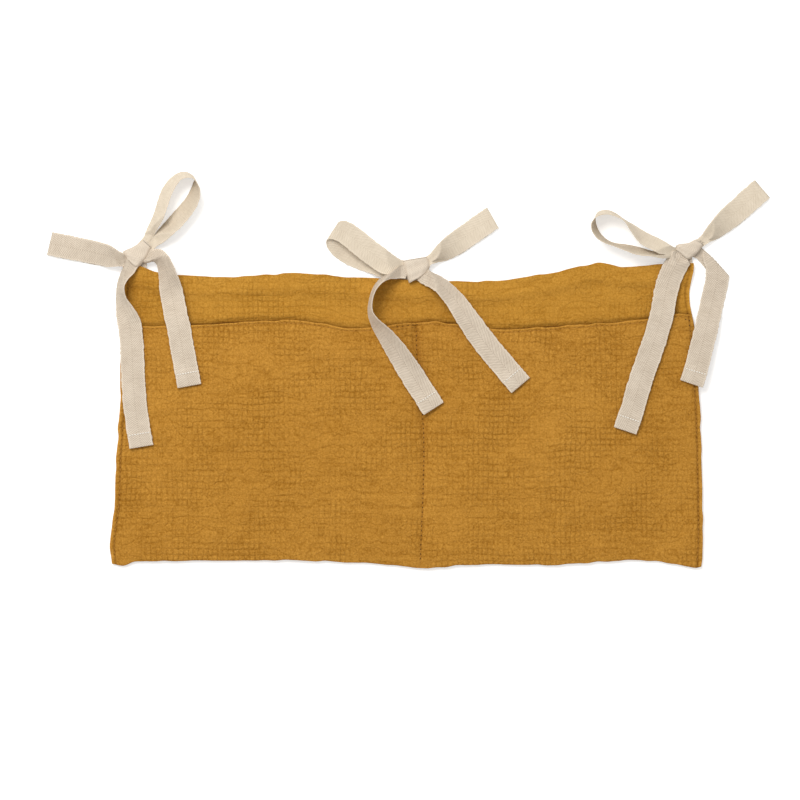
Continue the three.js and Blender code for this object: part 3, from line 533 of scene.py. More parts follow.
def gauze_group():
    """Colour and height of double gauze. Tack points every few millimetres leave a grid of puffed cells, sharper where
    a slow noise says so. Thin creases are the ridges of a noise stretched along x, and of one along y. The colour is
    painted darker in the grooves between cells and along the creases, as painted shade, and darker still where the
    cloth's attribute holds painted shade and shadow."""
    kinds = {"Light": "NodeSocketColor", "Dark": "NodeSocketColor", "Seed": "NodeSocketFloat"}
    group, given, result = new_group("double_gauze", kinds,
                                     {"Color": "NodeSocketColor", "Height": "NodeSocketFloat"})
    coordinates = add_node(group, "ShaderNodeTexCoord")
    scaled = add_node(group, "ShaderNodeVectorMath", {0: coordinates.outputs["Object"], "Scale": 1 / MM},
                      operation="SCALE").outputs[0]
    shift = add_node(group, "ShaderNodeCombineXYZ", {"Z": given.outputs["Seed"]}).outputs[0]
    place = add_node(group, "ShaderNodeVectorMath", {0: scaled, 1: shift}, operation="ADD").outputs[0]
    flat = add_node(group, "ShaderNodeVectorMath", {0: place, 1: (1, 1, 0.15)}, operation="MULTIPLY").outputs[0]
    sway = add_node(group, "ShaderNodeTexNoise", {"Vector": flat, "Scale": 0.035, "Detail": 2.0}).outputs["Color"]
    push = add_node(group, "ShaderNodeVectorMath", {0: sway, "Scale": CELL_SWAY}, operation="SCALE").outputs[0]
    bent = add_node(group, "ShaderNodeVectorMath", {0: flat, 1: push}, operation="ADD").outputs[0]
    parts = add_node(group, "ShaderNodeSeparateXYZ", {0: bent})
    across_cells = calc(group, "ABSOLUTE", waves(group, parts.outputs["X"], 2 * CELL_WIDTH))
    along_cells = calc(group, "ABSOLUTE", waves(group, parts.outputs["Y"], 2 * CELL_HEIGHT))
    cells = calc(group, "POWER", calc(group, "MULTIPLY", across_cells, along_cells), 0.4)
    patchy = add_node(group, "ShaderNodeMapRange", {"Value": noise(group, flat, 0.02), **PATCH_LEVELS}).outputs[0]
    groove = calc(group, "MULTIPLY", calc(group, "SUBTRACT", 1.0, cells), patchy)

    def creases(x_scale, y_scale, sharpness, detail, offset):
        """1 along the lines where a noise is half way up, falling off beside them by its distance from there."""
        moved = add_node(group, "ShaderNodeVectorMath", {0: bent, 1: offset}, operation="ADD").outputs[0]
        ridge = noise(group, stretched(group, moved, x_scale, y_scale), 1.0, detail, 0.5)
        near = calc(group, "MULTIPLY", calc(group, "ABSOLUTE", centred(group, ridge)), sharpness)
        return calc(group, "POWER", calc(group, "MAXIMUM", calc(group, "SUBTRACT", 1.0, near), 0.0), 1.6)

    short = calc(group, "MULTIPLY", creases(*SHORT_CREASES), 0.35)
    upright = calc(group, "MULTIPLY", calc(group, "MULTIPLY", creases(*UPRIGHT_CREASES), patchy), 0.6)
    lines = calc(group, "MAXIMUM", calc(group, "MAXIMUM", creases(*LEVEL_CREASES), short), upright)
    grain = noise(group, place, 0.62, 3.0, 0.85)
    threads = calc(group, "MULTIPLY", waves(group, parts.outputs["X"], THREAD_PITCH),
                   waves(group, parts.outputs["Y"], THREAD_PITCH))
    cloudy = noise(group, flat, 0.011, 2.0)
    # The cloth's attribute: lighter along its edges, painted shade in the rows' grooves and painted shadow under the
    # mouths.
    light_edges_and_painted_shade = add_node(group, "ShaderNodeAttribute", attribute_name="light_edges_and_painted_shade").outputs["Fac"]
    # Painted shade: the grooves between cells and the creases darken the colour, beside the random grain and cloudy
    # tone.
    shade = weighted(group, 0.36, (groove, 0.3), (lines, 0.3), (light_edges_and_painted_shade, -0.4), (centred(group, grain), 2.2),
                     (centred(group, cloudy), -0.45), (threads, 0.05))
    shade = add_node(group, "ShaderNodeClamp", {"Value": shade}).outputs[0]
    colour = add_node(group, "ShaderNodeMix", {"Factor": shade, "A": given.outputs["Light"],
                                               "B": given.outputs["Dark"]}, data_type="RGBA")
    # The deepest painted shade and shadow go towards a darker mustard.
    deep = add_node(group, "ShaderNodeClamp", {"Value": calc(group, "MULTIPLY", light_edges_and_painted_shade, -0.7)}).outputs[0]
    colour = add_node(group, "ShaderNodeMix", {"Factor": deep, "A": colour.outputs["Result"],
                                               "B": MUSTARD_PAINTED_SHADE}, data_type="RGBA")
    group.links.new(colour.outputs["Result"], result.inputs["Color"])
    height = weighted(group, 0.0, (grain, 0.5), (groove, -1.0), (lines, -0.55), (threads, 0.12))
    group.links.new(height, result.inputs["Height"])
    return group


def cloth_material(name, group, inputs, relief, roughness, sheen, sheen_tint):
    """A matte woven surface: the group's colour, its height as a bump of some millimetres, and a soft sheen."""
    material = bpy.data.materials.new(name)
    material.use_nodes = True
    tree = material.node_tree
    tree.nodes.clear()
    pattern = add_node(tree, "ShaderNodeGroup", node_tree=group)
    for key, value in inputs.items():
        pattern.inputs[key].default_value = value
    bump = add_node(tree, "ShaderNodeBump", {"Height": pattern.outputs["Height"], "Distance": relief * MM,
                                             "Strength": 1.0})
    surface = add_node(tree, "ShaderNodeBsdfPrincipled", {
        "Base Color": pattern.outputs["Color"], "Roughness": roughness, "Sheen Weight": sheen,
        "Sheen Roughness": 0.5, "Sheen Tint": sheen_tint, "Specular IOR Level": 0.2,
        "Normal": bump.outputs["Normal"]})
    add_node(tree, "ShaderNodeOutputMaterial", {"Surface": surface.outputs[0]})
    return material


double_gauze = gauze_group()
GAUZE_FINISH = {"relief": 0.55, "roughness": 0.95, "sheen": 0.06, "sheen_tint": MUSTARD_LIGHT}
gauze = cloth_material("mustard_gauze", double_gauze, {"Light": MUSTARD_LIGHT, "Dark": MUSTARD_DARK, "Seed": 0.0},
                       **GAUZE_FINISH)
gauze_header = cloth_material("mustard_gauze_header", double_gauze,
                              {"Light": HEADER_LIGHT, "Dark": HEADER_DARK, "Seed": 90.0}, **GAUZE_FINISH)
gauze_back = cloth_material("mustard_gauze_back", double_gauze,
                            {"Light": MUSTARD_LIGHT, "Dark": MUSTARD_DARK, "Seed": 400.0}, **GAUZE_FINISH)

# The three layers from the table up: node, upper edge, underside, thickness, material, seed, whether its upper edge
# is the mouths, slot and what it rests on
SHEETS = [
    ("back_lining", top_edge, edge_lift, PLY_THICKNESS, gauze_back, LINING_SEED, False,
     "mustard_gauze_back", "table"),
    ("front_facing", top_edge, facing_underside, PLY_THICKNESS, gauze_header, FACING_SEED, False,
     "mustard_gauze", "back_lining"),
    ("pocket_cloth", mouth_edge, pocket_underside, POCKET_THICKNESS, gauze, POCKET_SEED, True,
     "mustard_gauze_pocket", "front_facing"),
]
for node, end, underside, thickness, material, seed, mouth, slot, rest in SHEETS:
    sheet = cloth_piece(f"{node}_gauze", end, underside, thickness, material, seed, mouth)
    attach(sheet, "organizer")
    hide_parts(node)

# The sewing on the panel is lockstitch in mustard thread. It divides the pockets, holds the sides, runs just below the
# fold of the mouths, and turns back on itself at their corners. Each stitch dives into the cloth at both ends, which
# are painted darker as shade, and a dark disc at each needle hole is its painted shadow.
STITCH_PITCH = 3.9
STITCH_LENGTH = 3.3
THREAD_WIDTH = 0.6
HOLE_WIDTH = 1
SMALL_HOLE = 0.5  # where the row lies deep in the fold of a mouth
STITCH_DIVE = 0.5
STITCH_LIFT = 0.2  # the middle of the thread lies this far over the cloth
BAR_SIDES = 6
BAR_RINGS = 7
BAR_TAPER = 0.8  # how much of the square of its radius a bar loses towards its ends
BAR_FLATTENED = 0.8  # its height as a share of its width
PLIES = (16.0, 2.0)  # turns of the twist, in radians for half a stitch and for one round the thread
HOLE_RIM = 0.02  # heights of a hole's dark disc, its painted shadow, over the row, at its rim and its middle
HOLE_MIDDLE = 0.1
TACK_LENGTH = 10
TACK_WIDTH = 3.4
TACK_TURN = 0.3  # the share of a corner tack's row that runs across, before it turns down
CENTRE_TACK_LENGTH = 20
# The row below the mouths in three parts: name, first and last share across, and the width of its holes
MOUTH_ROWS = [
    ("left", -0.985, -0.064, SMALL_HOLE), ("middle", -0.064, 0.017, HOLE_WIDTH), ("right", 0.017, 0.985, SMALL_HOLE),
]


def pocket_top(x, y):
    """Height of the pocket cloth's face, with its crinkles and grooves."""
    u = share_across(x, y)
    folds = crinkle(x, y, POCKET_SEED) + seam_shape(x, y, u, True)
    return pocket_underside(x, y, u) + POCKET_THICKNESS + folds


def spaced(points, pitch):
    """Middles and directions of the equal steps that a line of points is cut into."""
    steps = np.linalg.norm(np.diff(points, axis=0), axis=1)
    length = np.concatenate([[0], np.cumsum(steps)])
    count = max(int(length[-1] / pitch), 1)
    ends = np.linspace(0, length[-1], count + 1)
    places = np.stack([np.interp(ends, length, points[:, k]) for k in range(3)], -1)
    way = np.diff(places, axis=0)
    return (places[1:] + places[:-1]) / 2, way / np.linalg.norm(way, axis=1)[:, None]


def stitches(name, points, face, pitch, length, width, hole, material):
    """Short round bars along a line, with a dark disc at the start of each as the painted shadow of its needle hole. A
    bar's radius falls from its middle as an ellipse's does, and it sinks below the face at both ends with the fourth
    power of the distance from its middle. A hole's disc is a low cone of triangles."""
    middles, ahead = spaced(points, pitch)
    aside = np.cross(face, ahead)
    aside /= np.linalg.norm(aside, axis=1)[:, None]
    upward = np.cross(ahead, aside)
    share, turn = np.meshgrid(np.linspace(-1, 1, BAR_RINGS), np.arange(BAR_SIDES) * 2 * np.pi / BAR_SIDES,
                              indexing="ij")
    radius = width / 2 * np.sqrt(1.02 - share ** 2 * BAR_TAPER)
    local = np.stack([share * length / 2, radius * np.cos(turn),
                      BAR_FLATTENED * radius * np.sin(turn) - STITCH_DIVE * share ** 4], -1).reshape(-1, 3)
    points = middles[:, None] + (local[None, :, :1] * ahead[:, None] + local[None, :, 1:2] * aside[:, None]
                                 + local[None, :, 2:] * upward[:, None])
    ring = np.arange(BAR_SIDES)
    onward = (ring + 1) % BAR_SIDES
    rings = np.arange(BAR_RINGS - 1)[:, None] * BAR_SIDES
    sides = np.stack([rings + ring, rings + onward, rings + onward + BAR_SIDES, rings + ring + BAR_SIDES], -1)
    cap = np.array([[0, 1, 2, 3], [0, 3, 4, 5]])
    one = np.concatenate([sides.reshape(-1, 4)[:, ::-1], cap, (cap + rings[-1] + BAR_SIDES)[:, ::-1]])
    faces = (np.arange(len(middles))[:, None, None] * len(local) + one[None]).reshape(-1, 4)
    places = np.tile(np.stack([share.ravel(), turn.ravel()], -1), (len(middles), 1))
    starts = middles - ahead * pitch / 2
    corner = np.arange(BAR_SIDES + 1)
    spoke = corner * 2 * np.pi / BAR_SIDES
    spread = np.where(corner < BAR_SIDES, hole / 2, 0.0)
    disc = (starts[:, None] + upward[:, None] * np.where(corner < BAR_SIDES, HOLE_RIM, HOLE_MIDDLE)[None, :, None]
            + ahead[:, None] * (spread * np.cos(spoke))[None, :, None]
            + aside[:, None] * (spread * np.sin(spoke))[None, :, None])
    cone = np.stack([ring, onward, np.full(BAR_SIDES, BAR_SIDES)], -1)
    floor = np.stack([ring[2:], ring[1:-1], np.zeros(BAR_SIDES - 2, int)], -1)
    fan = np.concatenate([cone, floor]) + len(middles) * len(local)
    quads = np.concatenate([faces[:, [0, 1, 2]], faces[:, [0, 2, 3]]])
    discs = (np.arange(len(middles))[:, None, None] * len(corner) + fan[None]).reshape(-1, 3)
    points = np.concatenate([points.reshape(-1, 3), disc.reshape(-1, 3)])
    places = np.concatenate([places, np.tile([[1.0, 0.0]], (len(middles) * len(corner), 1))])
    return mesh_piece(name, points * MM, np.concatenate([quads, discs]), material, places)


def thread_material(name, bright, dark):
    """Twisted thread: slanted plies along it, and painted shade where it dives into the cloth, which also darkens the
    needle holes' discs.
    """
    material = bpy.data.materials.new(name)
    material.use_nodes = True
    tree = material.node_tree
    tree.nodes.clear()
    place = add_node(tree, "ShaderNodeSeparateXYZ", {0: add_node(tree, "ShaderNodeUVMap", uv_map="weave").outputs[0]})
    twist = calc(tree, "SINE", weighted(tree, 0.0, (place.outputs["X"], PLIES[0]), (place.outputs["Y"], PLIES[1])))
    # painted shade: darker with the cube of the distance from a stitch's middle, where it sinks into the cloth
    dive = calc(tree, "POWER", calc(tree, "ABSOLUTE", place.outputs["X"]), 3.0)
    shade = weighted(tree, 0.0, (twist, 0.1), (dive, 1.3))
    shade = add_node(tree, "ShaderNodeClamp", {"Value": shade}).outputs[0]
    colour = add_node(tree, "ShaderNodeMix", {"Factor": shade, "A": bright, "B": dark}, data_type="RGBA")
    bump = add_node(tree, "ShaderNodeBump", {"Height": twist, "Distance": 0.05 * MM, "Strength": 1.0})
    surface = add_node(tree, "ShaderNodeBsdfPrincipled", {
        "Base Color": colour.outputs["Result"], "Roughness": 0.75, "Specular IOR Level": 0.3,
        "Normal": bump.outputs["Normal"]})
    add_node(tree, "ShaderNodeOutputMaterial", {"Surface": surface.outputs[0]})
    return material


# The dark colour of the thread is painted shade at its ends and painted shadow on the needle holes' discs.
mustard_thread = thread_material("mustard_thread", srgb(186, 130, 48), srgb(70, 40, 6))


def on_pocket(x, y):
    """Points of a row that lies in its groove on the pocket cloth."""
    return np.stack([x, y, pocket_top(x, y) + STITCH_LIFT], -1)


def panel_row(node, x, y, hole=HOLE_WIDTH, name=None):
    """One row of stitches on the panel, in place of its node."""
    row = stitches(f"{name or node}_row", on_pocket(x, y), np.array([0.0, 0.0, 1.0]), STITCH_PITCH, STITCH_LENGTH,
                   THREAD_WIDTH, hole, mustard_thread)
    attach(row, "organizer")
    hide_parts(node)


run = np.linspace(0, 1, 60)
seam_y = mix(mouth_edge(0.0) - 2 * MOUTH_STITCH_INSET - TACK_WIDTH, bottom_edge(0.0) + STITCH_INSET, run)
panel_row("centre_seam_thread", seam_line(seam_y), seam_y)
for side, sign, edge in (("left", -1, left_edge), ("right", 1, right_edge)):
    corner_y = mouth_edge(float(sign)) - 2 * MOUTH_STITCH_INSET
    side_y = mix(corner_y - TACK_LENGTH, bottom_edge(float(sign)) + STITCH_INSET, run)
    panel_row(f"{side}_side_thread", edge(side_y) - sign * STITCH_INSET, side_y, SMALL_HOLE)
    corner_x = edge(corner_y) - sign * STITCH_INSET
    tack_x = corner_x - sign * TACK_WIDTH * np.interp(run, [0, TACK_TURN, 1], [1, 0, 0])
    tack_y = corner_y - TACK_LENGTH * np.interp(run, [0, TACK_TURN, 1], [0, 0, 0.95])
    panel_row(f"{side}_corner_tack", tack_x, tack_y)
for name, low_u, high_u, hole in MOUTH_ROWS:
    mouth_u = np.linspace(low_u, high_u, 150)
    mouth_y = mouth_edge(mouth_u) - MOUTH_STITCH_INSET
    panel_row("mouth_stitch_thread", across(mouth_u, mouth_y), mouth_y, hole, f"{name}_mouth")
tack_x = seam_line(MOUTH_HEIGHT) + np.linspace(-CENTRE_TACK_LENGTH, 0, 20)
tack_y = mouth_edge(share_across(tack_x, MOUTH_HEIGHT)) - 2 * MOUTH_STITCH_INSET
panel_row("centre_mouth_tack", tack_x, tack_y, SMALL_HOLE)

# The ties are cream cotton twill tape, 20 wide. Each is a doubled length sewn into the top seam, whose legs come
# out under a bow: a knot with two loops and two hemmed tails, tied loosely and laid out by hand.
TAPE_WIDTH = 20
TAPE_THICKNESS = 0.7
HEM_LENGTH = 12
HEM_STITCH_INSET = 1.5
HEM_GAP = 0.03  # half of what is left between the two layers of a hem
HEM_SLOPE = 3  # over this length a tape comes down from its hem
HEM_STITCH = {"pitch": 2.2, "length": 2.2, "width": 0.9, "hole": 0.4}
ROOT_LENGTH = 9  # what lies between the plies of the panel
HALF_TAPE = TAPE_WIDTH / 2
TWENTIETH = TAPE_WIDTH / 20
ROOT_THICKNESS = 2 * TAPE_THICKNESS
THREAD_ROOM = 0.9  # a tape stays this far over the pocket cloth, for the rows of stitches on it
LEFT_KNOT_INSET = 25
LEFT_KNOT_RISE = 17.5
CENTRE_KNOT_SHIFT = 9
CENTRE_KNOT_RISE = 4.5
RIGHT_KNOT_INSET = 9.5
RIGHT_KNOT_RISE = 20
TAPE_STEP = 0.8  # between the rows of a tape's grid
TAPE_COLUMN = 1.25  # and between its columns
ROUTE_STEPS = 40  # on each stretch of a route
CLIMB = 0.4  # the steepest that a tape rises to a layer of cloth
CLIMB_ROUNDED = 6  # its height is averaged over this many rows to each side
LOOK_AHEAD = 7  # a tape is held up by what lies this far ahead of it and behind it
PINCH_REACH = 30  # the tape curls across its width towards the knot, over this length
PINCH_CURL = 0.75  # half the angle that it curls through there, in radians
LOOP_PRESSED = 2  # in the knot's band, a loop stays this low over what the knot lies on
TAIL_PRESSED = 3  # and a tail, which lies on the loops
LOOP_SLOPE = 0.7  # outside the band it may rise this steeply
TAIL_SLOPE = 1.1
TAPE_SEED = 60
EDGE_UNEVEN = 0.7  # how much the selvedges wander
EDGE_UNEVEN_LENGTH = 1.9
WAVER_CELL = (17, 12)  # along and across a tape
WAVER_STOP = 6  # over this length the wavering dies out before a hem
HEM_GROOVE = 0.7  # half the width of the groove that the stitches draw across a hem
BLEND_REACH = (-3, 5)  # a tape bends between these two distances past its hinge
FOLD_RADIUS = 0.7
FOLD_AXIS = 1.4  # height of the line that the fold turns about
# The outer curves of each knot's band, from its lower left end to its upper right
BAND_CURVES = {
    "left": [
        [[-9.9, -7.1], [-12.8, -0.8], [-5.7, 3], [4.6, 9.5]],
        [[-1.9, -13.9], [1.1, -11.8], [7, -4.2], [10.4, 3.8]],
    ],
    "centre": [
        [[-6.1, -14.2], [-9.4, -5], [-12, 4.8]],
        [[1.2, -10.2], [9.6, -3.2], [11, 3], [8.7, 8.2]],
    ],
    "right": [
        [[-13, -1.5], [-12, 2.2], [-2.2, 4.1], [4.3, 7.1]],
        [[-3, -9.8], [1.3, -7.3], [6.5, -2.5], [10.4, 3.3]],
    ],
}
# The bows are laid out in twentieths of the tape's width from the knot's middle, as in the solids but for a few
# places beside the knots. A route holds the places that a tape passes: x, y, rise and tilt, and for a loop the way
# its width leans. At its hinge, where it bends, a tape runs at the given bearing, in degrees from the right. The
# knot draws it in to the first number of gather as a share of its width, and lets it go between the two distances
# after it. A fold is the line on which a tape is turned under itself, and its route is then drawn as it would run
# unfolded. The legs come out this far to the right of the knot's middle, or to the left where it is negative.
TIES = [
    {
        "name": "left",
        "knot": [-HALF_WIDTH + LEFT_KNOT_INSET, HALF_HEIGHT + LEFT_KNOT_RISE],
        "legs": -4,
        "tapes": [
            {
                "name": "open_loop",
                "hinge": [11.2, 12.7],
                "bearing": 56,
                "gather": [0.5, 7.5, 22],
                "route": [
                    [2, 2.5, 0.3, 8, -34], [7.5, 9, 0, 50, -32], [12, 19.5, 0, 64, -28], [16.8, 30, 0, 58, -26],
                    [20.2, 40.5, 0, 57, -26], [24, 50.2, 0, 58, -30], [28.6, 57.4, 0, 61, -40],
                    [33.6, 62.2, 0, 66, -55], [39.1, 64, 0, 70, -68], [44.4, 62.8, 0, 76, -66],
                    [47.6, 59.8, 0, 78, -55], [48.4, 55, 0, 65, -38],
                    [47.4, 48.6, 0, 56, -30], [44, 41, 0, 49, -32], [39, 34, 0, 46, -36], [33.2, 27.2, 0, 45, -40],
                    [27, 20.6, 0, 47, -44], [19.6, 14.2, 0, 53, -45], [12, 7.8, 0, 48, -42], [3.5, 1, 0.3, 8, -38],
                ],
            },
            {
                "name": "flat_loop",
                "hinge": [-16.2, -7],
                "bearing": 167,
                "gather": [0.62, 7.5, 22],
                "route": [
                    [-4, -5, 2.2, 30, 88], [-14.5, -7.3, 2, 43, 88], [-27, -4, 1.6, 24, 84], [-42, -0.5, 1.6, 12, 80],
                    [-59, 3, 1.8, 0, 78], [-72, 5.6, 2.2, 0, 77], [-75.6, 6.4, 1.2, 0, 77], [-72, 5.6, 0.1, 0, 77],
                    [-59, 3, 0, 0, 78], [-42, -0.5, 0, 12, 80], [-27, -4, 0, 24, 84], [-14.5, -7.3, 0, 43, 88],
                    [-4, -5, 0.4, 30, 88],
                ],
            },
            {
                "name": "tail_a",
                "hinge": [-12, -17],
                "bearing": -84.4,
                "gather": [0.7, 7.5, 22],
                "route": [
                    [-2, -3, 1.6, 0], [-6, -9, 1, 34], [-9.2, -15.5, 0.4, 54], [-12.6, -22.5, 0, 65],
                    [-14.9, -31, 0, 67], [-14.6, -41, 0, 60], [-10.8, -53, 0, 30], [-7.6, -63, 0, 6], [-6, -77.5, 0, 0],
                    [-5, -101, 0, 0], [-3.5, -125, 0, 0], [-1, -145.5, 0, 0], [2.2, -164.5, 0, 0],
                ],
            },
            {
                "name": "tail_b",
                "hinge": [23.4, -17.5],
                "bearing": -78.8,
                "gather": [0.6, 7.5, 22],
                "route": [
                    [1, -2, 0, 0], [6.4, -5.6, 1, 25], [12.5, -4.6, 2.2, 48], [18.3, -6.6, 2, 50], [22.3, -13, 0.8, 46],
                    [24.6, -22, 0, 34], [27, -33, 0, 12], [30.5, -51, 0, 0], [34, -66, 0, 0], [37, -83.5, 0, 0],
                    [40.5, -101, 0, 0], [42.7, -113.3, 0, 0],
                ],
            },
        ],
    },
    {
        "name": "centre",
        "knot": [CENTRE_KNOT_SHIFT, HALF_HEIGHT + CENTRE_KNOT_RISE],
        "legs": -6.5,
        "tapes": [
            {
                "name": "open_loop",
                "hinge": [-28, 0.4],
                "bearing": 147.4,
                "gather": [0.7, 7.5, 22],
                "route": [
                    [-5, 1.5, 3.2, 0, 62], [-13, 0, 5.4, 10, 58], [-22.5, 0.8, 8, 14, 54], [-33, 7.4, 9.4, 12, 50],
                    [-42.8, 14.5, 10.2, 10, 49], [-50.9, 21.3, 10.6, 11, 50], [-60, 28, 10, 16, 53],
                    [-66.5, 30.4, 8.6, 20, 55], [-70.8, 29.3, 5.6, 23, 56], [-70.6, 24.6, 2, 20, 55],
                    [-66, 18.4, 0.6, 14, 53], [-59.5, 13.3, 0, 8, 51], [-52.6, 9.2, 0, 5, 50], [-42.8, 5.2, 0, 3, 50],
                    [-33.2, 2, 0, 3, 51], [-23, -1.6, 0, 3, 53], [-13, -3, 0.3, 0, 58], [-5, -2, 0.6, 0, 62],
                ],
            },
            {
                "name": "flat_loop",
                "hinge": [15, 7],
                "bearing": 34,
                "gather": [0.5, 7.5, 22],
                "route": [
                    [3, 1.5, 2.4, 10, 122], [10, 4.8, 2.2, 58, 122], [18, 9.4, 1.8, 50, 122],
                    [27.5, 15.5, 1.6, 28, 122], [35.5, 21, 1.6, 12, 122], [46, 28.5, 1.8, 0, 121],
                    [61, 39, 2.2, 0, 120], [64.4, 41.3, 1.2, 0, 120], [61, 39, 0.1, 0, 120], [46, 28.5, 0, 0, 121],
                    [35.5, 21, 0, 12, 122], [27.5, 15.5, 0, 28, 122], [18, 9.4, 0, 50, 122], [10, 4.8, 0, 58, 122],
                    [3, 1.5, 0.4, 10, 122],
                ],
            },
            {
                "name": "tail_a",
                "hinge": [-38, -27],
                "bearing": -58.5,
                "gather": [0.35, 3, 7.5],
                "route": [
                    [-4, -3, 3.4, 26], [-10.5, -3.2, 4, 51], [-16.5, -5.2, 3, 65], [-22.5, -7.7, 1.6, 74],
                    [-28.5, -11.4, 0.6, 77], [-35, -18.8, 0, 80], [-38.5, -28.5, 0, 82], [-39, -39, 0, 79],
                    [-35.5, -47, 0, 70], [-29.5, -55, 0, 54], [-21.5, -65.5, 0, 38], [-10.5, -81.5, 0, 18],
                    [0.5, -98.5, 0, 2], [14, -119.5, 0, 0],
                ],
            },
            {
                "name": "tail_b",
                "hinge": [20.5, -16.5],
                "bearing": -51.6,
                "gather": [0.8, 7.5, 22],
                "route": [
                    [2, -4, 0, 0], [8.5, -8.5, 0.4, -36], [16.5, -13.2, 0.4, -48], [24, -19.5, 0, -44],
                    [33.5, -30.5, 0, -32], [42.5, -44, 0, -20], [54.5, -61, 0, -4], [64.5, -73.5, 0, 0],
                    [76, -87, 0, 0], [87, -100, 0, 0],
                ],
            },
        ],
    },
    {
        "name": "right",
        "knot": [HALF_WIDTH - RIGHT_KNOT_INSET, HALF_HEIGHT + RIGHT_KNOT_RISE],
        "legs": -9,
        "tapes": [
            {
                "name": "open_loop",
                "hinge": [-25.5, -2.8],
                "bearing": 158.9,
                "gather": [0.35, 7.5, 22],
                "route": [
                    [-5, 0, 3.2, 6, -110], [-13, -1.2, 2.4, 40, -112], [-23, 0.2, 1, 50, -118], [-32, 4, 0, 52, -122],
                    [-40, 8, 0, 54, -124], [-49.5, 16.5, 0, 68, -126], [-56.5, 23, 0, 82, -126],
                    [-63, 27.2, 0, 80, -110], [-69, 29.6, 0, 77, -95], [-75, 29.6, 0, 77, -92],
                    [-80, 27.4, 0, 76, -112], [-82.6, 22.3, 0, 73, -136], [-81.9, 16.3, 0, 71, -146],
                    [-78.4, 10.3, 0, 72, -132],
                    [-72.4, 5.6, 0, 76, -112], [-64.5, 2.4, 0, 78, -97], [-56, 0.2, 0, 72, -94], [-48, -2, 0, 68, -96],
                    [-40, -3.8, 0, 70, -98], [-32, -5.4, 0, 74, -98], [-22.5, -6.6, 0, 70, -100],
                    [-13, -5.6, 0, 44, -104], [-5, -3, 0.4, 6, -110],
                ],
            },
            {
                "name": "flat_loop",
                "hinge": [12, 7.2],
                "bearing": 40.8,
                "gather": [0.5, 7.5, 22],
                "route": [
                    [2, 1, 2.4, 14, 130], [7.5, 4.5, 2.2, 62, 130], [15, 10.5, 1.8, 54, 130], [25, 19.2, 1.6, 32, 131],
                    [37.5, 30, 1.6, 8, 131], [48.5, 39.8, 1.8, 0, 131], [57, 47.2, 2.2, 0, 131],
                    [60.2, 50, 1.2, 0, 131], [57, 47.2, 0.1, 0, 131], [48.5, 39.8, 0, 0, 131], [37.5, 30, 0, 8, 131],
                    [25, 19.2, 0, 32, 131], [15, 10.5, 0, 54, 130], [7.5, 4.5, 0, 62, 130], [2, 1, 0.4, 14, 130],
                ],
            },
            {
                "name": "tail_a",
                "hinge": [-15.6, -20.5],
                "bearing": -107,
                "gather": [0.25, 4, 10],
                "route": [
                    [-3, -1, 2.6, 0], [-9, -8.5, 3, 0], [-14.5, -17.5, 1.6, 0], [-19, -28, 0.4, 0],
                    [-21.5, -37.5, 0, 0], [-25.5, -57, 0, 0], [-31, -76.5, 0, 0], [-37, -94, 0, 0], [-43.5, -113, 0, 0],
                    [-49, -132.5, 0, 0], [-56, -153.5, 0, 0],
                ],
            },
            {
                "name": "tail_b",
                "hinge": [21.6, -22.5],
                "bearing": -104,
                "gather": [0.6, 6, 20],
                "fold": [[9.9, -0.4], [30.6, -22.4]],
                "route": [
                    [12, 9.6, 0, 0], [14.6, 3.5, 0.4, 0], [18.8, -5.6, 1.4, 0], [22.4, -14.2, 1.65, 0],
                    [22.7, -22, 1.4, 0], [21.6, -30.5, 0.6, 0], [19.6, -40, 0, 0],
                    [17.2, -49.5, 0, 0], [14, -62, 0, 0], [10.5, -76, 0, 0], [7, -89.5, 0, 0], [3.5, -103.5, 0, 0],
                    [0, -114, 0, 0],
                ],
            },
        ],
    },
]


CREAM_LIGHT = srgb(233, 220, 202)
CREAM_DARK = srgb(166, 149, 130)
RIB_PITCH = 1.8
RIB_SLANT = 0.95  # how far a rib runs along the tape for each millimetre across it
THREAD_ACROSS = 0.52  # between the fine threads
THREAD_ALONG = 0.75
KNOB_PITCH = 1.3  # between the knobs of a selvedge
SELVEDGE = {"From Min": 8.5, "From Max": 8.9}  # it begins this far from the middle
SPINE = {"From Min": 0.55, "From Max": 0.2}  # and the line where the ribs meet ends here


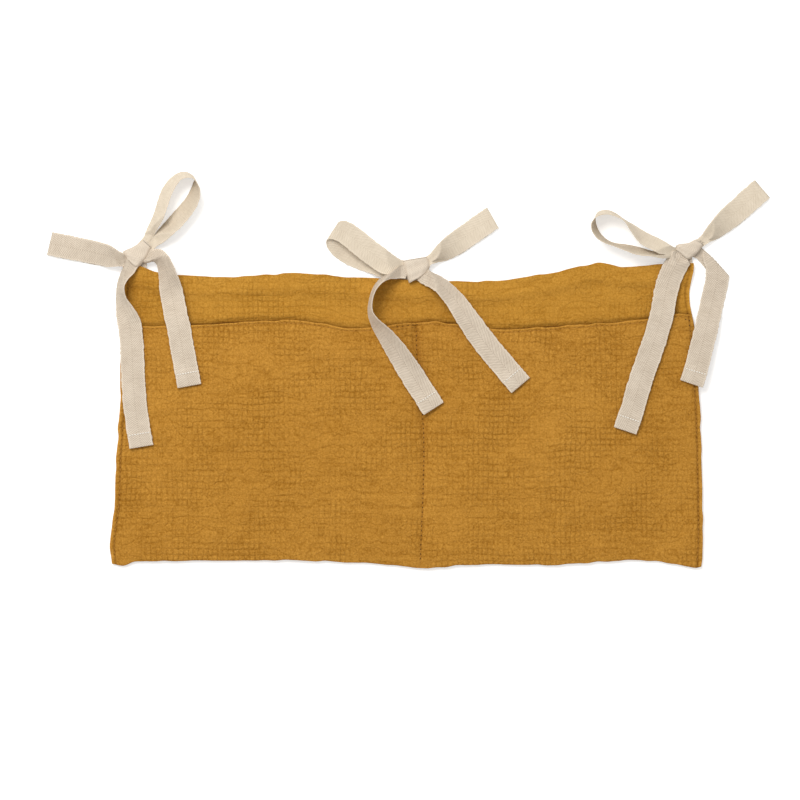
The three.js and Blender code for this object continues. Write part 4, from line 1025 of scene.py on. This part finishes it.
def herringbone_group():
    """Herringbone twill: slanted ribs that meet in a point along the middle of the tape, finer threads in them,
    and two plain selvedges, lighter and knobbly, where the weft turns back."""
    kinds = {"Light": "NodeSocketColor", "Dark": "NodeSocketColor", "Weave": "NodeSocketFloat"}
    group, given, result = new_group("herringbone", kinds,
                                     {"Color": "NodeSocketColor", "Height": "NodeSocketFloat"})
    uv = add_node(group, "ShaderNodeUVMap", uv_map="weave").outputs[0]
    place = add_node(group, "ShaderNodeVectorMath", {0: uv, "Scale": 1 / MM}, operation="SCALE").outputs[0]
    sway = add_node(group, "ShaderNodeTexNoise", {"Vector": place, "Scale": 0.12, "Detail": 2.0}).outputs["Fac"]
    parts = add_node(group, "ShaderNodeSeparateXYZ", {0: place})
    aside = calc(group, "ABSOLUTE", parts.outputs["X"])
    along = calc(group, "ADD", parts.outputs["Y"], calc(group, "MULTIPLY", sway, 2.2))
    slant = calc(group, "ADD", along, calc(group, "MULTIPLY", aside, RIB_SLANT))
    rib = waves(group, slant, RIB_PITCH)
    fine = calc(group, "MULTIPLY", waves(group, parts.outputs["X"], THREAD_ACROSS), waves(group, along, THREAD_ALONG))
    selvedge = add_node(group, "ShaderNodeMapRange", {"Value": aside, **SELVEDGE}).outputs[0]
    knobs = waves(group, along, KNOB_PITCH)
    spine = add_node(group, "ShaderNodeMapRange", {"Value": aside, **SPINE}).outputs[0]
    body = weighted(group, 0.0, (rib, 0.5), (fine, 0.2), (spine, -0.2))
    edge = weighted(group, 0.25, (knobs, 0.3))
    weave = add_node(group, "ShaderNodeMix", {"Factor": selvedge, "A": body, "B": edge}).outputs["Result"]
    grain = centred(group, noise(group, place, 2.2, 3.0, 0.6))
    slubs = centred(group, noise(group, stretched(group, place, 0.12, 1.1), 1.0, 2.0))
    height = weighted(group, 0.0, (weave, given.outputs["Weave"]), (grain, 0.9))
    group.links.new(height, result.inputs["Height"])
    cloudy = centred(group, noise(group, place, 0.07, 2.0))
    shade = weighted(group, 0.42, (height, -0.75), (slubs, 0.5), (cloudy, 0.35))
    shade = add_node(group, "ShaderNodeClamp", {"Value": shade}).outputs[0]
    colour = add_node(group, "ShaderNodeMix", {"Factor": shade, "A": given.outputs["Light"],
                                               "B": given.outputs["Dark"]}, data_type="RGBA")
    group.links.new(colour.outputs["Result"], result.inputs["Color"])
    return group


herringbone = herringbone_group()
TWILL_FINISH = {"roughness": 0.85, "sheen": 0.08, "sheen_tint": CREAM_LIGHT}
twill = cloth_material("cream_twill", herringbone, {"Light": CREAM_LIGHT, "Dark": CREAM_DARK, "Weave": 0.75},
                       relief=0.22, **TWILL_FINISH)
# The loops' copy of the tape is lighter: painted light for the bounce they get off the white table.
twill_loop = cloth_material("cream_twill_loop", herringbone,
                            {"Light": srgb(238, 226, 207), "Dark": srgb(188, 172, 149), "Weave": 0.45},
                            relief=0.18, **TWILL_FINISH)
twill_knot = cloth_material("cream_twill_knot", herringbone,
                            {"Light": srgb(236, 224, 207), "Dark": srgb(172, 155, 136), "Weave": 0.3},
                            relief=0.18, **TWILL_FINISH)
# Its dark colour too is painted shade at the stitches' ends and painted shadow on the holes' discs.
cream_thread = thread_material("cream_thread", srgb(255, 251, 243), srgb(206, 190, 168))


def curve_by_chords(points, t):
    """A curve through points by the centripetal rule. On each stretch it is a cubic, whose end slopes weigh the
    chords before and after by the square roots of their lengths."""
    points = np.array(points, float)
    padded = np.concatenate([2 * points[:1] - points[1:2], points, 2 * points[-1:] - points[-2:-1]])
    place = t * (len(points) - 1)
    i = np.minimum(place.astype(int), len(points) - 2)
    w = (place - i)[:, None]
    a, b, c, d = (padded[i + k] for k in range(4))
    before, here, after = (np.sqrt(np.linalg.norm(q - p, axis=1))[:, None] for p, q in ((a, b), (b, c), (c, d)))
    here = np.where(here < 1e-4, 1, here)
    before = np.where(before < 1e-4, here, before)
    after = np.where(after < 1e-4, here, after)
    start = ((b - a) / before - (c - a) / (before + here) + (c - b) / here) * here
    end = ((c - b) / here - (d - b) / (here + after) + (d - c) / after) * here
    return b + start * w + (3 * (c - b) - 2 * start - end) * w ** 2 + (2 * (b - c) + start + end) * w ** 3


def leg_height(x, y):
    """Middle height of a tie's doubled legs: close over the lining in the seam, then down to the table."""
    u = share_across(x, y)
    edge = top_edge(share_across(x, HALF_HEIGHT))
    in_seam = edge_lift(x, np.minimum(y, edge), u) + PLY_THICKNESS + LAYER_GAP + ROOT_THICKNESS / 2
    return mix(in_seam, LAYER_GAP + ROOT_THICKNESS / 2, smooth((y - edge) / SEAM_DEPTH))


def rest_height(leg_x, knot_y, x, y):
    """Height of what a tape lies on: the highest of the cloth with its thread, the legs of its tie and the table."""
    u = share_across(x, y)
    inside = (np.abs(u) <= 1) & (y > bottom_edge(u)) & (y < top_edge(u))
    header = facing_underside(x, y, u) + PLY_THICKNESS
    pocket = pocket_underside(x, y, u) + POCKET_THICKNESS + THREAD_ROOM
    height = np.where(inside, np.where(y < mouth_edge(u), pocket, header), 0)
    edge = top_edge(share_across(leg_x, HALF_HEIGHT))
    on_legs = (np.abs(x - leg_x) < HALF_TAPE + LAYER_GAP) & (y > edge - ROOT_LENGTH) & (y < knot_y + LAYER_GAP)
    return np.where(on_legs, np.maximum(height, leg_height(leg_x, y) + ROOT_THICKNESS / 2), height)


def softened(values, reach):
    """A moving average over reach places to each side, with the end values carried on."""
    padded = np.pad(values, reach, mode="edge")
    return np.convolve(padded, np.ones(2 * reach + 1) / (2 * reach + 1), mode="valid")


def tape_line(knot, leg_x, route, is_tail):
    """Centres and width directions along a tape, and the distance run. Its height is that of what is under it, with
    a ramp to each side of every step, plus its rise and the sine of its tilt times half its width. A tail lies two
    layers high at its hem."""
    route = np.array(route, float)
    t = np.linspace(0, 1, ROUTE_STEPS * (len(route) - 1) + 1)
    place = curve_by_chords(route[:, :3] * TWENTIETH, t)
    turn = curve_by_chords(route[:, 3:], t)
    run = np.concatenate([[0], np.cumsum(np.linalg.norm(np.diff(place, axis=0), axis=1))])
    at = np.linspace(0, run[-1], int(run[-1] / TAPE_STEP) + 1)
    place = np.stack([np.interp(at, run, place[:, k]) for k in range(3)], -1)
    turn = np.stack([np.interp(at, run, turn[:, k]) for k in range(turn.shape[1])], -1)
    heading = np.gradient(place[:, :2], axis=0)
    heading /= np.linalg.norm(heading, axis=1)[:, None] + 1e-9
    lean = np.radians(turn[:, 1]) if not is_tail else np.arctan2(heading[:, 0], -heading[:, 1])
    level = np.stack([np.cos(lean), np.sin(lean)], -1)
    tilt = np.radians(turn[:, 0])
    side = np.linspace(-1, 1, 5)[None, :, None] * (np.abs(np.cos(tilt)) * HALF_TAPE)[:, None, None]
    ahead = np.linspace(-1.1, 1.1, 7)[None, None, :] * LOOK_AHEAD
    x, y = (knot[k] + place[:, k, None, None] + level[:, k, None, None] * side + heading[:, k, None, None] * ahead
            for k in range(2))
    rest = rest_height(leg_x, knot[1], x, y).max(axis=(1, 2))
    bridged = (rest[None] - CLIMB * np.abs(at[:, None] - at[None])).max(axis=1)
    height = softened(bridged, CLIMB_ROUNDED) + LAYER_GAP + TAPE_THICKNESS / 2
    height += np.maximum(place[:, 2], 0) + np.abs(np.sin(tilt)) * HALF_TAPE
    if is_tail:
        to_tip = at[-1] - at
        height += TAPE_THICKNESS * smooth(2 - to_tip / HEM_LENGTH)
        height += TAPE_THICKNESS / 2 * smooth((HEM_LENGTH + HEM_SLOPE - to_tip) / HEM_SLOPE)
    centre = np.c_[knot[0] + place[:, 0], knot[1] + place[:, 1], height]
    axis = np.c_[level * np.cos(tilt)[:, None], np.sin(tilt)]
    return centre, axis, at


def faces_of(centre, axis):
    """Unit directions along a tape and out of its face."""
    along = np.gradient(centre, axis=0)
    along /= np.linalg.norm(along, axis=1)[:, None]
    face = np.cross(along, axis)
    return along, face / np.linalg.norm(face, axis=1)[:, None]


def hemmed(centre, axis, at):
    """The line of a tail carried on past its tip: round in half a circle, and back under itself."""
    along, face = faces_of(centre, axis)
    radius = TAPE_THICKNESS / 2 + HEM_GAP
    turn = np.linspace(0, np.pi, 6)[1:-1, None]
    bend = centre[-1] + along[-1] * radius * np.sin(turn) - face[-1] * radius * (1 - np.cos(turn))
    back = at > at[-1] - HEM_LENGTH
    under = (centre - face * 2 * radius)[back][::-1]
    centre = np.concatenate([centre, bend, under])
    axis = np.concatenate([axis, np.repeat(axis[-1:], len(bend), 0), axis[back][::-1]])
    steps = np.linalg.norm(np.diff(centre, axis=0), axis=1)
    return centre, axis, np.concatenate([[0], np.cumsum(steps)])


def folded_under(points, fold):
    """Points past the line of a fold go under it. They run round a half circle about an axis under the line, at an
    angle of distance over radius, and then straight back, as far below the axis as they were above it."""
    start, end = fold
    out = np.array([start[1] - end[1], end[0] - start[0]]) / np.linalg.norm(end - start)
    past = (points[..., :2] - start) @ out
    above = points[..., 2] - FOLD_AXIS
    turn = np.clip(past / FOLD_RADIUS, 0, np.pi)
    moved = above * np.sin(turn) + (past - turn * FOLD_RADIUS) * np.cos(turn) - past
    height = FOLD_AXIS + above * np.cos(turn)
    return np.concatenate([points[..., :2] + out * moved[..., None], height[..., None]], -1)


def ribbon(name, centre, axis, at, curl, gather, seed, material, squeeze=None, hem_at=None, fold=None):
    """A tape swept along its line. Across its width it is an arc of the given half angle, drawn in to the given
    share of it, and its thickness falls to nothing at its border as the height of a half circle does. A noise moves
    it a little off its line and another its selvedges, and a knot presses down what rises over its ceiling."""
    along, face = faces_of(centre, axis)
    across_tape = rimmed(-HALF_TAPE, HALF_TAPE, TAPE_COLUMN)[::-1]
    curl = np.maximum(curl, 1e-3)[:, None]
    aside = HALF_TAPE / curl * np.sin(curl * across_tape / HALF_TAPE) * gather[:, None]
    bow = HALF_TAPE / curl * (np.cos(curl * across_tape / HALF_TAPE) - np.sinc(curl / np.pi))
    waver = value_noise(at[:, None] + 0 * across_tape, across_tape + 0 * at[:, None], *WAVER_CELL, seed) - 0.5
    if hem_at is not None:
        waver = waver * smooth((hem_at - at) / WAVER_STOP)[:, None]
        waver = waver - bell(at - hem_at - HEM_STITCH_INSET, 0.5, HEM_GROOVE)[:, None]
    uneven = value_noise(at[:, None], np.sign(across_tape) * 40, EDGE_UNEVEN_LENGTH, 1, seed + 7) - 0.5
    aside = aside + EDGE_UNEVEN * uneven * (across_tape / HALF_TAPE) ** 3
    inward = np.minimum(HALF_TAPE - np.abs(across_tape), np.minimum(at, at[-1] - at)[:, None])
    rim = np.sqrt(1 - (1 - np.clip(inward * 2 / TAPE_THICKNESS, 0, 1)) ** 2) * TAPE_THICKNESS / 2
    middle = centre[:, None] + axis[:, None] * aside[..., None] + face[:, None] * (bow + 0.5 * waver)[..., None]
    if squeeze is not None:
        outside, floor_of, pressed, slope = squeeze
        ceiling = floor_of(middle[..., 1]) + pressed + slope * outside(middle[..., :2])
        middle[..., 2] = np.minimum(middle[..., 2], ceiling)
    offset = face[:, None] * rim[..., None]
    upper, lower = middle + offset, middle - offset
    if fold is not None:
        upper, lower = folded_under(upper, fold), folded_under(lower, fold)
    places = np.stack(np.broadcast_arrays(across_tape[None], at[:, None]), -1)
    return closed_shell(name, upper, lower, material, places)


def knot_floor(side, knot, leg_x):
    """The slope that a knot lies on, as a function of y: flat on the legs beyond its upper end, and from there in a
    straight line up over the highest thing under the band."""
    corners = np.array(BAND_CURVES[side][0] + BAND_CURVES[side][1]) * TWENTIETH + np.array(knot)
    upper_end = corners[:, 1].max() + TAPE_THICKNESS
    legs_top = LAYER_GAP + ROOT_THICKNESS
    share = np.linspace(0.2, 1, 5)[:, None]
    x, y = (mix(knot[k], corners[None, :, k], share) for k in range(2))
    slope = ((rest_height(leg_x, knot[1], x, y) - legs_top) / (upper_end - y)).max()
    return lambda y: legs_top + slope * np.maximum(upper_end - y, 0) + LAYER_GAP


def outside_band(side, knot):
    """A function for how far a place is outside a knot's band, taken as a strip with round ends: its distance from
    the line between the band's two end middles, less half the band's width."""
    left, right = (np.array(points, float) * TWENTIETH + np.array(knot) for points in BAND_CURVES[side])
    low, high = (left[0] + right[0]) / 2, (left[-1] + right[-1]) / 2
    half_width = np.linalg.norm(left[len(left) // 2] - right[len(right) // 2]) / 2

    def distance(place):
        """The distance from the strip, and 0 inside it."""
        share = np.clip((place - low) @ (high - low) / ((high - low) @ (high - low)), 0, 1)
        return np.clip(np.linalg.norm(place - low - share[..., None] * (high - low), axis=-1) - half_width, 0, None)

    return distance


for tie in TIES:
    knot, side = tie["knot"], tie["name"]
    leg_x = knot[0] + tie["legs"] * TWENTIETH
    for k, tape in enumerate(tie["tapes"]):
        node = f"{side}_bow_{tape['name']}"
        is_tail = "tail" in tape["name"]
        centre, axis, at = tape_line(knot, leg_x, tape["route"], is_tail)
        from_knot = at if is_tail else np.minimum(at, at[-1] - at)
        fold = None
        if "fold" in tape:
            fold = [np.array(place) * TWENTIETH + np.array(knot) for place in tape["fold"]]
        curl = PINCH_CURL * smooth(1 - from_knot / PINCH_REACH) * (fold is None)
        share, drawn, free = tape["gather"]
        gather = mix(share, 1, smooth((from_knot - drawn) / (free - drawn)))
        hem_at = None
        if is_tail:
            tip, tip_axis, tip_at = centre, axis, at
            hem_at = at[-1] - HEM_LENGTH
            centre, axis, at = hemmed(centre, axis, at)
            curl, gather = np.interp(at, tip_at, curl), np.interp(at, tip_at, gather)
        # The loops but the left flat one take the lighter copy, painted light.
        material = twill if is_tail or node == "left_bow_flat_loop" else twill_loop
        squeeze = (outside_band(side, knot), knot_floor(side, knot, leg_x),
                   TAIL_PRESSED if is_tail else LOOP_PRESSED, TAIL_SLOPE if is_tail else LOOP_SLOPE)
        piece = ribbon(f"{node}_tape", centre, axis, at, curl, gather, TAPE_SEED + k, material, squeeze, hem_at, fold)
        bearing = np.radians(tape["bearing"])
        heading = np.array([np.cos(bearing), np.sin(bearing)])
        hinge = np.array(knot) + np.array(tape["hinge"]) * TWENTIETH
        start, end = (np.append(hinge + heading * step, 0) * MM for step in BLEND_REACH)
        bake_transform(piece)
        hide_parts(node)
        if is_tail:
            along, face = faces_of(tip, tip_axis)
            row = np.searchsorted(tip_at, hem_at + HEM_STITCH_INSET)
            ends = tip[row] + np.linspace(-1, 1, 20)[:, None] * tip_axis[row] * (HALF_TAPE - 1)
            ends += face[row] * (TAPE_THICKNESS / 2 + STITCH_LIFT)
            hem = stitches(f"{side}_{tape['name']}_hem_row", ends, face[row], **HEM_STITCH, material=cream_thread)
            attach(hem, f"{node}_part")
            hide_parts(f"{side}_{tape['name']}_hem_thread")

# Under each bow the tie's doubled legs come out of the top seam, one on the other, and run up into its knot. The
# knot's band is the same tape drawn over the crossing: its selvedges face the two loops, and it rolls under on
# its two other sides. These are drawn as the band's outer curves, from its lower left end to its upper right.
KNOT_HEIGHT = 5.6
BAND_STEP = 0.7  # between the grid lines across the band
BAND_LINES = 33  # and the number of those along it
BAND_CREASE = 0.4
BAND_CREASES = 2.3  # over the band's width
BAND_CREASE_SWAY = 0.35
BAND_FLATNESS = 6  # the power in the arch: the greater, the flatter its top
BAND_SHOULDER = 0.9  # the band is this much lower at its selvedges
LEG_ROWS = 40
LEG_SEED = 80


def band_of(side, knot, leg_x):
    """The band as a shell. From one outer curve to the other it rises as a flattened arch, the square root of 1 less
    a power of the distance from its top. Shallow sine creases run over the arch."""
    v = rimmed(0, TAPE_WIDTH, BAND_STEP)[:, None] / TAPE_WIDTH
    u = np.linspace(0, 1, BAND_LINES)[None]
    left, right = (curve_by_chords(points, v[:, 0])[:, None] * TWENTIETH + np.array(knot)
                   for points in BAND_CURVES[side])
    spread = 0.5 - 0.5 * np.cos(np.pi * u)
    place = mix(left, right, spread[..., None])
    floor = knot_floor(side, knot, leg_x)(place[..., 1])
    arch = np.sqrt(1 - np.abs(2 * spread - 1) ** BAND_FLATNESS)
    crease = BAND_CREASE * np.sin(2 * np.pi * (BAND_CREASES * v + BAND_CREASE_SWAY * np.sin(2.5 * u + 1))) * arch
    crown = (KNOT_HEIGHT - TAPE_THICKNESS / 2 - BAND_SHOULDER * (2 * v - 1) ** 2) * arch + crease
    middle = np.concatenate([place, (floor + crown)[..., None]], -1)
    along = np.gradient(middle, axis=0)
    aside = np.gradient(middle, axis=1)
    face = np.cross(aside, along)
    face /= np.linalg.norm(face, axis=2)[..., None]
    inward = np.minimum(v, 1 - v) * TAPE_WIDTH + 0 * u
    rim = np.sqrt(1 - (1 - np.clip(inward * 2 / TAPE_THICKNESS, 0, 1)) ** 2) * TAPE_THICKNESS / 2
    rim[:, [0, -1]] = 0
    run = np.concatenate([[0], np.cumsum(np.linalg.norm(np.diff(middle[len(v) // 2], axis=0), axis=1))])
    places = np.stack(np.broadcast_arrays((v - 0.5) * TAPE_WIDTH, run[None]), -1)
    band = closed_shell(f"{side}_bow_band", middle + face * rim[..., None], middle - face * rim[..., None],
                        twill_knot, places)
    return band, run[-1]


for tie in TIES:
    knot, side = tie["knot"], tie["name"]
    leg_x = knot[0] + tie["legs"] * TWENTIETH
    band, girth = band_of(side, knot, leg_x)
    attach(band, "organizer")
    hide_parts(f"{side}_bow_knot")
    edge = top_edge(share_across(leg_x, HALF_HEIGHT))
    leg_y = np.linspace(edge - ROOT_LENGTH, knot[1], LEG_ROWS)
    legs_x = np.full(LEG_ROWS, leg_x)
    for k, name in ((-1, "under"), (1, "upper")):
        centre = np.stack([legs_x, leg_y, leg_height(legs_x, leg_y) + k * TAPE_THICKNESS / 2], -1)
        axis = np.repeat([[-1.0, 0.0, 0.0]], LEG_ROWS, 0)
        leg = ribbon(f"{side}_tie_leg_{name}", centre, axis, leg_y - leg_y[0], np.zeros(LEG_ROWS),
                     np.ones(LEG_ROWS), LEG_SEED + k, twill)
        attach(leg, "organizer")
        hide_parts(f"{side}_tie_legs")
